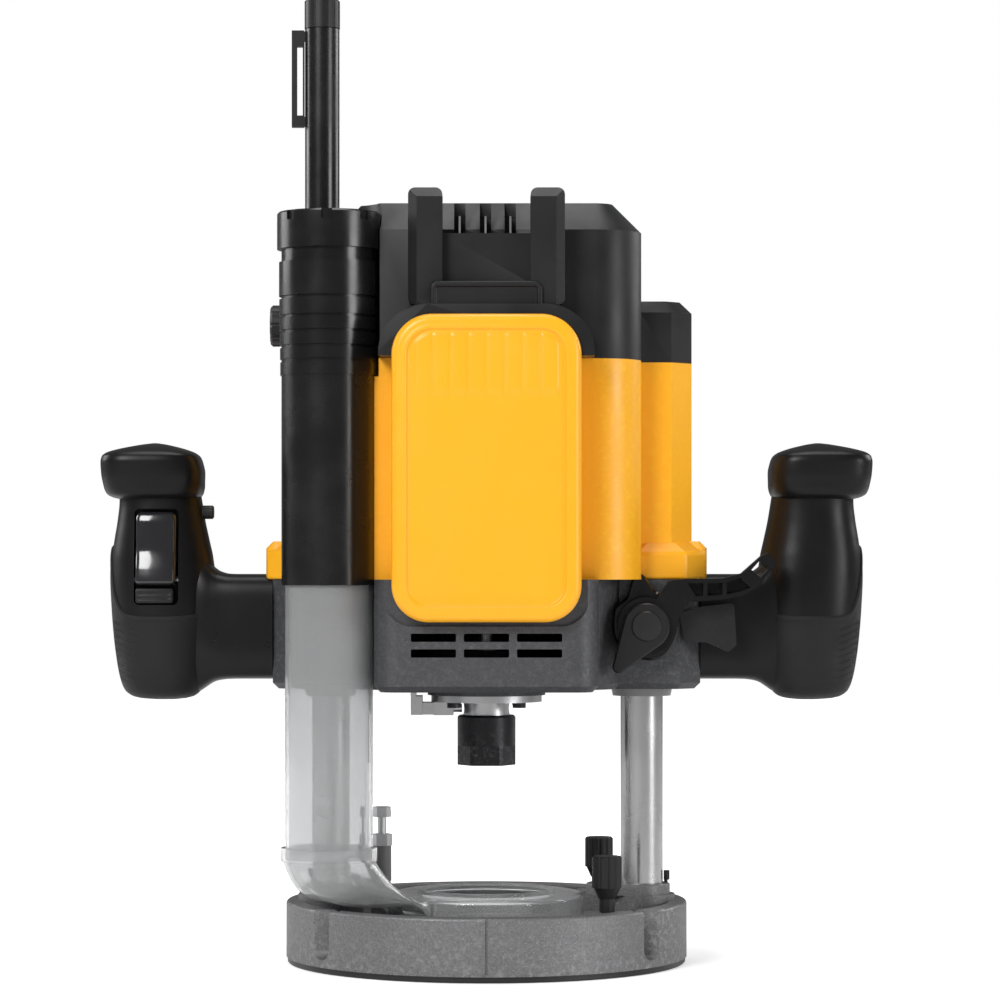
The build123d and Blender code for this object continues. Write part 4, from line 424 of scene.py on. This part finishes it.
def closed_mesh(name, points, faces):
    """A mesh from points in millimetres, with doubled points merged and its faces turned outwards."""
    mesh = bpy.data.meshes.new(name)
    mesh.from_pydata([tuple(float(c) * MM for c in p) for p in points], [], faces)
    mesh.validate()
    shape = bmesh.new()
    shape.from_mesh(mesh)
    bmesh.ops.remove_doubles(shape, verts=shape.verts, dist=DOUBLED)
    bmesh.ops.recalc_face_normals(shape, faces=shape.faces)
    shape.to_mesh(mesh)
    shape.free()
    return mesh


def new_object(name, data):
    """An object in the scene that holds a mesh, light or camera."""
    made = bpy.data.objects.new(name, data)
    bpy.context.scene.collection.objects.link(made)
    return made


def new_piece(name, points, faces, slot, body, replaced=()):
    """A mesh object from points in millimetres, painted, riding on its body."""
    piece = new_object(name, closed_mesh(name, points, faces))
    shade_smooth(piece.data)
    piece.data.materials.append(FINISHES[slot])
    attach(piece, body)
    if replaced:
        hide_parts(*replaced)
    return piece


def ring_mesh(rings):
    """Points and faces of a closed skin through rings of equal length, with a fan over each end."""
    rings = [np.asarray(ring) for ring in rings]
    count, around = len(rings), len(rings[0])
    points = [tuple(p) for ring in rings for p in ring]
    faces = []
    for i in range(count - 1):
        for j in range(around):
            k = (j + 1) % around
            faces.append((i * around + j, i * around + k, (i + 1) * around + k, (i + 1) * around + j))
    for end in (0, count - 1):
        hub = len(points)
        points.append(tuple(rings[end].mean(axis=0)))
        for j in range(around):
            k = (j + 1) % around
            faces.append((end * around + j, end * around + k, hub))
    return points, faces


def join_meshes(*parts):
    """The points and faces of several skins as one."""
    points, faces = [], []
    for part_points, part_faces in parts:
        start = len(points)
        points += list(part_points)
        faces += [tuple(start + i for i in face) for face in part_faces]
    return points, faces


def split_sharp(piece, angle=35):
    """Keeps hard edges hard on a smooth-shaded mesh."""
    piece.data.set_sharp_from_angle(angle=math.radians(angle))


def carve(piece, cutter_points, cutter_faces):
    """Cuts a closed shape out of a piece and keeps the result as its mesh."""
    cutter = new_object("cutter", closed_mesh("cutter", cutter_points, cutter_faces))
    cut = piece.modifiers.new("pocket", "BOOLEAN")
    cut.operation = "DIFFERENCE"
    cut.solver = "EXACT"
    cut.object = cutter
    bpy.context.view_layer.update()
    evaluated = piece.evaluated_get(bpy.context.evaluated_depsgraph_get())
    result = bpy.data.meshes.new_from_object(evaluated)
    piece.modifiers.remove(cut)
    piece.data = result
    bpy.data.objects.remove(cutter)


def rounded_bar(low, high, radius, steps=6):
    """A block along Y with rounded corners in X and Z."""
    (x0, y0, z0), (x1, y1, z1) = low, high
    outline = []
    for cx, cz, start in (
        (x1 - radius, z1 - radius, 0),
        (x0 + radius, z1 - radius, 90),
        (x0 + radius, z0 + radius, 180),
        (x1 - radius, z0 + radius, 270),
    ):
        for i in range(steps + 1):
            turn = math.radians(start + 90 * i / steps)
            outline.append((cx + radius * math.cos(turn), cz + radius * math.sin(turn)))
    return ring_mesh([[(x, y, z) for x, z in outline] for y in (y0, y1)])


def relief_plate(
    half_width, low_z, high_z, corner_low, corner_high, front, back_y, rows, columns, centre_x=0.0
):
    """A plate facing -Y with rounded corners. Its front is a relief, front(x, z, edge distance)."""
    def spread(n, power):
        """N steps from -1 to 1, closer together near both ends."""
        t = np.linspace(-1, 1, n)
        return np.sign(t) * (1 - (1 - np.abs(t)) ** power)

    middle = (low_z + high_z) / 2
    heights = middle + (high_z - low_z) / 2 * spread(rows, 1.6)
    grid = []
    for z in heights:
        corner = corner_high if z > middle else corner_low
        inset = max(corner - min(z - low_z, high_z - z), 0)
        half = half_width - corner + math.sqrt(max(corner**2 - inset**2, 0))
        x = half * spread(columns, 1.8)
        over_x = np.maximum(np.abs(x) - (half_width - corner), 0)
        over_z = max(abs(z - middle) - ((high_z - low_z) / 2 - corner), 0)
        straight = np.minimum(half_width - np.abs(x), (high_z - low_z) / 2 - abs(z - middle))
        rounded = corner - np.sqrt(over_x**2 + over_z**2)
        edge = np.where((over_x > 0) & (over_z > 0), rounded, straight)
        y = front(x, z, np.maximum(edge, 0))
        grid.append(np.stack([x + centre_x, y, np.full_like(x, z)], axis=1))
    grid = np.array(grid)
    back = grid.copy()
    back[:, :, 1] = back_y
    points = [tuple(p) for p in grid.reshape(-1, 3)] + [tuple(p) for p in back.reshape(-1, 3)]
    offset = rows * columns
    faces = []
    for i in range(rows - 1):
        for j in range(columns - 1):
            a, b = i * columns + j, (i + 1) * columns + j
            faces.append((a, a + 1, b + 1, b))
            faces.append((offset + a, offset + b, offset + b + 1, offset + a + 1))
    rim = list(range(columns))
    rim += [i * columns + columns - 1 for i in range(1, rows)]
    rim += [(rows - 1) * columns + j for j in range(columns - 2, -1, -1)]
    rim += [i * columns for i in range(rows - 2, 0, -1)]
    for a, b in zip(rim, rim[1:] + rim[:1]):
        faces.append((a, offset + a, offset + b, b))
    return points, faces


# ---------------------------------------------------------------- handles
LOW_LEFT, HIGH_LEFT = corners("left_handle")
GRIP_LOW = corners("handle_grips")[0][2]
ARM_INNER = -HIGH_LEFT[0]
CAP_REACH = -LOW_LEFT[0]

# How square a level section is: 2 is an ellipse, and more is squarer.
BODY_POWER = 2.35
CAP_POWER = 2.9

# Each row is a height above the grip's lower end, how far the outer and then the inner side
# stop short of the cap's reach, and half the depth.
BODY_STATIONS = np.array((
    (0.0, 24.0, 32.0, 3.0),
    (0.5, 18.5, 36.5, 8.5),
    (1.6, 14.6, 40.0, 12.5),
    (4.0, 11.6, 42.6, 15.5),
    (9.0, 9.6, 44.6, 17.6),
    (16.0, 8.2, 46.2, 18.8),
    (27.0, 6.8, 48.0, 19.5),
    (40.0, 5.8, 49.0, 19.6),
    (52.0, 5.3, 49.1, 19.0),
    (60.0, 5.5, 48.3, 18.2),
    (68.0, 6.5, 46.6, 17.2),
    (76.0, 7.8, 44.9, 16.4),
    (84.0, 8.6, 43.6, 16.0),
    (89.0, 8.6, 42.8, 16.0),
))
CAP_STATIONS = np.array((
    (84.6, 10.5, 41.0, 14.0),
    (85.6, 6.2, 42.6, 17.6),
    (87.0, 3.6, 43.8, 19.8),
    (91.0, 1.7, 44.9, 21.2),
    (96.0, 0.7, 45.1, 22.0),
    (100.6, 0.45, 44.2, 22.2),
    (103.0, 1.0, 43.2, 21.6),
    (104.6, 3.0, 41.2, 19.8),
    (106.0, 7.5, 37.4, 16.2),
    (107.3, 13.5, 32.6, 11.4),
    (108.3, 19.0, 28.0, 5.8),
    (108.8, 22.6, 24.8, 1.0),
))


def skin_rings(side, stations, heights, around, power, offset=None):
    """Level rings of a handle. Side is -1 or 1. Offset pushes points outwards, as offset(height, angle)."""
    angles = np.linspace(0, 2 * math.pi, around, endpoint=False)
    outer, inner, depth = (smooth_curve(stations[:, 0], stations[:, c]) for c in (1, 2, 3))
    cosine, sine = np.cos(angles), np.sin(angles)
    round_x = np.sign(cosine) * np.abs(cosine) ** (2 / power)
    round_y = np.sign(sine) * np.abs(sine) ** (2 / power)
    rings = []
    for row, height in enumerate(heights):
        h = np.broadcast_to(height, angles.shape).astype(float)
        far, near = CAP_REACH - outer(h), CAP_REACH - inner(h)
        half = (far - near) / 2
        push = offset(row, h, angles) if offset else 0
        x = (far + near) / 2 + (half + push) * round_x
        y = (depth(h) + push) * round_y
        rings.append(np.stack([side * x, y, GRIP_LOW + h], axis=1))
    return rings


def handle_shell(side):
    """Hard shell of a handle: the body and its mushroom cap."""
    around = 112
    body = ring_mesh(skin_rings(side, BODY_STATIONS, np.linspace(0.4, 88.6, 120), around, BODY_POWER))
    cap_heights = np.concatenate([np.linspace(84.6, 103.0, 40), np.linspace(103.3, 108.8, 28)])
    cap = ring_mesh(skin_rings(side, CAP_STATIONS, cap_heights, around, CAP_POWER, cap_facets))
    return body, cap


def cap_facets(row, height, angles):
    """Broad flats on the cap's skirt, strongest at mid height."""
    strength = smoothstep(86, 94, height) * (1 - smoothstep(103, 107, height))
    return -0.55 * strength * np.cos(4 * angles)


def handle_arm(side):
    """The arm between the casting's boss and the handle, flared where it meets the handle."""
    reach = (ARM_INNER, 104, 109, 113, 116, 118.5, 122, 127, 131)
    tops = smooth_curve(reach, (164.2, 164.2, 164.3, 165.3, 167.4, 170.6, 175.0, 178.0, 178.0))
    bottoms = smooth_curve(reach, (119.8, 119.8, 119.7, 119.2, 118.2, 116.6, 114.4, 113.4, 114.0))
    halves = smooth_curve(reach, (16.6, 16.4, 16.2, 16.1, 16.1, 16.1, 15.8, 14.4, 11.0))
    angles = np.linspace(0, 2 * math.pi, 96, endpoint=False)
    rings = []
    for x in np.linspace(ARM_INNER + 0.05, 130.5, 60):
        power = 5.0 - 2.4 * float(smoothstep(108, 124, x))
        c, s = np.cos(angles), np.sin(angles)
        y = float(halves(x)) * np.sign(c) * np.abs(c) ** (2 / power)
        middle = (float(tops(x)) + float(bottoms(x))) / 2
        half = (float(tops(x)) - float(bottoms(x))) / 2
        z = middle + half * np.sign(s) * np.abs(s) ** (2 / power)
        rings.append(np.stack([np.full_like(y, side * x), y, z], axis=1))
    return ring_mesh(rings)


def grip_skin(side):
    """Rubber overmould round the lower part of a handle, with its ribs and its rolled upper edge."""
    around, rows = 168, 96
    outer_rise, side_rise, front_top = 25.0, 5.0, 35.6
    rib_pitch, rib_depth, lip_height, bead_height = 2.9, 0.55, 0.62, 0.22

    angles = np.linspace(0, 2 * math.pi, around, endpoint=False)
    edge = front_top + side_rise * np.abs(np.cos(angles)) ** 4
    edge = edge + outer_rise * np.clip(np.cos(angles), 0, 1) ** 10
    shares = np.concatenate([np.linspace(0, 0.96, rows - 10), np.linspace(0.966, 1.0, 10)])

    def push(row, height, turn):
        share = shares[row]
        below = edge - height
        lip = lip_height * np.sqrt(np.clip(below / 0.9, 0, 1)) - 0.35 * (share >= 1.0)
        bead = bead_height * np.exp(-((below - 1.5) / 0.9) ** 2)
        side_on = np.abs(np.sin(turn))
        wave = height + 1.6 * np.sin(3 * turn) + 2.5 * side_on
        quarter = smoothstep(0.1, 0.35, side_on) * (1 - smoothstep(0.82, 0.95, side_on))
        zone = quarter * (np.cos(turn) > 0) * smoothstep(7, 10, height) * (1 - smoothstep(31, 34, height))
        groove = np.clip(np.cos(2 * math.pi * wave / rib_pitch), 0, 1) ** 2
        return lip + bead - rib_depth * zone * groove

    heights = [0.02 + share * edge for share in shares]
    return ring_mesh(skin_rings(side, BODY_STATIONS, heights, around, BODY_POWER, push))


def cut_trigger_pocket(shell):
    """The opening that the trigger and the lock-on slider stand in."""
    low, high = corners("trigger")
    slider_low = corners("lock_on_slider")[0][2]
    pocket_low = (low[0] - 0.8, low[1] - 8, slider_low - 0.7)
    pocket_high = (high[0] + 0.9, low[1] + 12.8, high[2] + 1.4)
    carve(shell, *rounded_bar(pocket_low, pocket_high, radius=2.2))
    split_sharp(shell, 50)


def build_handles():
    """Both handles, each a shell, a cap and an arm, and the rubber over their lower parts."""
    for side, name in ((-1, "left_handle"), (1, "right_handle")):
        body, cap = handle_shell(side)
        shell = new_piece(f"{name}_shell", *body, "handle_black", "carriage", (name,))
        if side < 0:
            cut_trigger_pocket(shell)
        new_piece(f"{name}_cap", *cap, "handle_black", "carriage", (name,))
        arm = new_piece(f"{name}_arm", *handle_arm(side), "handle_black", "carriage", (name,))
        split_sharp(arm, 60)
    grips = join_meshes(grip_skin(-1), grip_skin(1))
    new_piece("grip_overmould", *grips, "black_rubber", "carriage", ("handle_grips",))


def build_trigger():
    """The trigger's paddle, hollowed for a finger."""
    low, high = corners("trigger")
    width, bottom, top = (high[0] - low[0]) / 2, low[2], high[2]
    finger = smooth_curve((bottom, bottom + 1.7, bottom + 6.7, bottom + 15.7, bottom + 26.7, top),
                          (low[1] + 1.5, low[1], low[1] + 0.6, low[1] + 3.0, low[1] + 3.4, low[1] + 4.6))

    def front(x, z, edge):
        crown = 1.1 * (np.abs(x) / width) ** 2.4
        return finger(np.full_like(x, z)) + crown + rounded_rim(edge, 1.5)

    plate = relief_plate(width, bottom, top, 2.0, 2.6, front, high[1], 60, 36, (low[0] + high[0]) / 2)
    new_piece("trigger_paddle", *plate, "gloss_black", "trigger", ("trigger",))


def build_slider():
    """The lock-on slider, ribbed across for the thumb."""
    low, high = corners("lock_on_slider")
    half, bottom, top = (high[0] - low[0]) / 2, low[2], high[2]
    rib_pitch, rib_height = 2.0, 0.45

    def front(x, z, edge):
        ribs = rib_height * (0.5 + 0.5 * np.cos(2 * math.pi * (z - bottom) / rib_pitch))
        sag = 0.6 * (np.abs(x) / half) ** 2
        return low[1] + ribs * smoothstep(0.8, 2.0, edge) + rounded_rim(edge, 1.0) + sag

    plate = relief_plate(half, bottom, top, 1.2, 1.2, front, high[1], 44, 24, (low[0] + high[0]) / 2)
    new_piece("lock_on_slider_ribbed", *plate, "black_plastic", "lock_on_slider", ("lock_on_slider",))


def build_front_panel():
    """The cover with a raised border, a sunk field and a band of upright flutes at its top."""
    low, high = corners("front_panel")
    half = (high[0] - low[0]) / 2
    border, recess, flutes, flute_depth = 6.6, 1.1, 8, 0.55
    flute_low = high[2] - border - 28.0
    field_half = half - border - 2.6

    def front(x, z, edge):
        face = low[1] + 0.8 * (np.abs(x) / half) ** 3
        roll = rounded_rim(edge, 3.2)
        crest = -0.25 * np.exp(-((edge - border + 1.2) / 1.0) ** 2)
        sunk = recess * smoothstep(border - 0.9, border + 0.5, edge)
        pitch = 2 * field_half / flutes
        across = np.abs(((x + field_half) % pitch) / pitch - 0.5) * 2
        slat = -flute_depth * (1 - across**6) * (np.abs(x) < field_half)
        zone = smoothstep(flute_low, flute_low + 5.0, z) * smoothstep(border + 0.8, border + 2.2, edge)
        return face + roll + crest + sunk + slat * zone

    plate = relief_plate(half, low[2], high[2], 15.0, 16.5, front, high[1], 190, 190)
    new_piece("front_panel_cover", *plate, "yellow_plastic", "carriage", ("front_panel",))


# ---------------------------------------------------------------- housings and lever
RAILS_ABOVE = 0.3
RAIL_FRONT = min(v.co.y for v in NODES["top_housing"].data.vertices if v.co.z > RAILS_ABOVE) / MM
FRONT_OF_BOSS = -25.1


def prism(outline, low, high, axis):
    """A closed prism along X or Z. The outline is in the other two axes, in the order X Y Z."""
    if axis == "X":
        return ring_mesh([[(along, a, b) for a, b in outline] for along in (low, high)])
    return ring_mesh([[(a, b, along) for a, b in outline] for along in (low, high)])


def build_top_housing():
    """The crown as moulded: battery rails with sloped tops and bevelled outer corners."""
    rail_outer, rail_low, slope, bevel = 32.0, 272.0, 5.0, 4.6
    piece = new_object("top_housing_moulding", NODES["top_housing"].data.copy())
    piece.data.materials.clear()
    piece.data.materials.append(FINISHES["black_plastic"])
    top = corners("top_housing")[1][2] + 1
    front = RAIL_FRONT - 1
    front_wedge = [(front, top - 1 - slope), (front, top), (RAIL_FRONT + slope, top)]
    carve(piece, *prism(front_wedge, -rail_outer - 1, rail_outer + 1, "X"))
    for side in (-1, 1):
        outer, inner = side * (rail_outer + 1), side * (rail_outer - bevel)
        corner = [(outer, front), (inner, front), (outer, RAIL_FRONT + bevel)]
        carve(piece, *prism(corner, rail_low, top, "Z"))
    shade_smooth(piece.data)
    split_sharp(piece, 30)
    soften_edges(piece, 0.9)
    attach(piece, "carriage")
    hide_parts("top_housing")


def build_latch_block():
    """The framed block between the battery rails, just above the arch."""
    low_z, high_z, half, frame_width, proud = 268.0, 283.4, 22.8, 2.2, 1.8

    def front(x, z, edge):
        sunk = smoothstep(frame_width - 0.3, frame_width + 0.3, edge)
        return RAIL_FRONT - proud + rounded_rim(edge, 0.8) + sunk

    plate = relief_plate(half, low_z, high_z, 2.0, 3.0, front, RAIL_FRONT + 6, 48, 90)
    new_piece("battery_latch_block", *plate, "black_plastic", "carriage")


def build_housing_lugs():
    """The shoulders over the handle arms, with bevelled tops and outer corners."""
    base = corners("motor_housing")[0][2]
    top, slope = base + 16.0, 5.0
    for side, name in ((-1, "left"), (1, "right")):
        front_y = -24.0 if side < 0 else -24.5
        outline = np.array([(62.0, front_y), (83.5, front_y), (92.6, -14.8), (92.6, 14.8), (62.0, 14.8)])
        middle = np.array((72.0, 0.0))
        rings = []
        for z, inset in ((base + 0.1, 0.0), (top - slope, 0.0), (top, slope)):
            shrunk = outline + np.clip(middle - outline, -inset, inset)
            rings.append([(side * x, y, z) for x, y in shrunk])
        lug = new_piece(f"{name}_housing_shoulder", *ring_mesh(rings), "yellow_plastic", "carriage")
        split_sharp(lug, 30)
        soften_edges(lug, 1.1)


def build_lever_skirt():
    """The lobed dark skirt behind the lever's hub."""
    hub = JOINTS["plunge_lock"]["pos_m"]
    hub_x, hub_z = hub[0] / MM, hub[2] / MM
    thickness, bevel, hub_radius = 4.6, 1.0, 14.0
    back, front = FRONT_OF_BOSS, FRONT_OF_BOSS - thickness
    turns = np.linspace(0, 2 * math.pi, 144, endpoint=False)
    radius = np.full_like(turns, hub_radius)
    for at, width, height in ((98, 15, 8.2), (52, 14, 5.0), (-62, 22, 1.2), (150, 14, 1.0)):
        away = np.degrees(np.angle(np.exp(1j * (turns - math.radians(at)))))
        radius += height * np.exp(-((away / width) ** 2))
    rings = []
    for y, inset in ((back, 0.0), (front + bevel, 0.0), (front, bevel)):
        reach = radius - inset
        x = hub_x + reach * np.cos(turns)
        z = hub_z + reach * np.sin(turns)
        rings.append(np.stack([x, np.full_like(x, y), z], axis=1))
    skirt = new_piece("lever_skirt", *ring_mesh(rings), "satin_black", "plunge_lock_lever")
    split_sharp(skirt, 30)


build_handles()
build_trigger()
build_slider()
build_front_panel()
build_top_housing()
build_latch_block()
build_housing_lugs()
build_lever_skirt()


# ---------------------------------------------------------------- stage
def floor_disc(level):
    """A pale round floor, wide enough to fade into the white backdrop."""
    radius, around = 3.0, 96
    turns = [2 * math.pi * i / around for i in range(around)]
    points = [(radius * math.cos(turn), radius * math.sin(turn), level) for turn in turns]
    mesh = bpy.data.meshes.new("floor")
    mesh.from_pydata(points, [], [tuple(range(around))])
    mesh.materials.append(pale_paper("pale_paper"))
    return new_object("floor", mesh)


def add_lights(middle):
    """Large soft lights that all face the middle of the object."""
    # name, place, size of the square in metres, watts
    lights = (
        ("key", (-0.8, -1.45, 1.15), 0.7, 25),
        ("fill", (1.55, -1.0, 0.45), 0.6, 11),
        ("rim_left", (-1.5, 0.6, 0.8), 0.8, 12),
        ("rim_right", (1.5, 0.9, 0.9), 0.8, 12),
        ("top", (0.0, 0.1, 1.9), 1.0, 14),
    )
    for name, place, size, watts in lights:
        data = bpy.data.lights.new(name, "AREA")
        data.size = size
        data.energy = watts
        light = new_object(name, data)
        light.location = place
        light.rotation_euler = (middle - Vector(place)).to_track_quat("-Z", "Y").to_euler()


def add_backdrop():
    """White all round where it is seen, with a weaker glow for what it lights."""
    seen_strength, lighting_strength = 1.0, 0.16
    world = bpy.data.worlds.new("studio")
    world.use_nodes = True
    nodes, links = world.node_tree.nodes, world.node_tree.links
    glow = nodes["Background"]
    glow.inputs["Color"].default_value = (1, 1, 1, 1)
    glow.inputs["Strength"].default_value = lighting_strength
    backdrop = nodes.new("ShaderNodeBackground")
    backdrop.inputs["Color"].default_value = (1, 1, 1, 1)
    backdrop.inputs["Strength"].default_value = seen_strength
    path = nodes.new("ShaderNodeLightPath")
    choose = nodes.new("ShaderNodeMixShader")
    seen = nodes.new("ShaderNodeMath")
    seen.operation = "MAXIMUM"
    links.new(path.outputs["Is Camera Ray"], seen.inputs[0])
    links.new(path.outputs["Is Transmission Ray"], seen.inputs[1])
    links.new(seen.outputs["Value"], choose.inputs["Fac"])
    links.new(glow.outputs["Background"], choose.inputs[1])
    links.new(backdrop.outputs["Background"], choose.inputs[2])
    links.new(choose.outputs["Shader"], nodes["World Output"].inputs["Surface"])
    bpy.context.scene.world = world
    bpy.context.scene.view_settings.view_transform = "Standard"


def add_camera():
    """A long lens, level, in front of the object, with the picture shifted to frame it."""
    distance, eye_height = 1.489, 0.168
    data = bpy.data.cameras.new("camera")
    data.lens = 126
    data.sensor_width = 36
    data.shift_x = 0.0135
    data.shift_y = 0.065
    data.clip_start = 0.05
    data.clip_end = 40
    camera = new_object("camera", data)
    camera.location = (0, -distance, eye_height)
    camera.rotation_euler = (math.radians(90), 0, 0)
    bpy.context.scene.camera = camera


def studio():
    """Pale floor, soft lights, white backdrop and the camera."""
    floor_gap = 0.0002
    low, high = CAD_BOX
    floor_disc(low[2] - floor_gap)
    add_lights(Vector((0, 0, (low[2] + high[2]) / 2)))
    add_backdrop()
    add_camera()


studio()
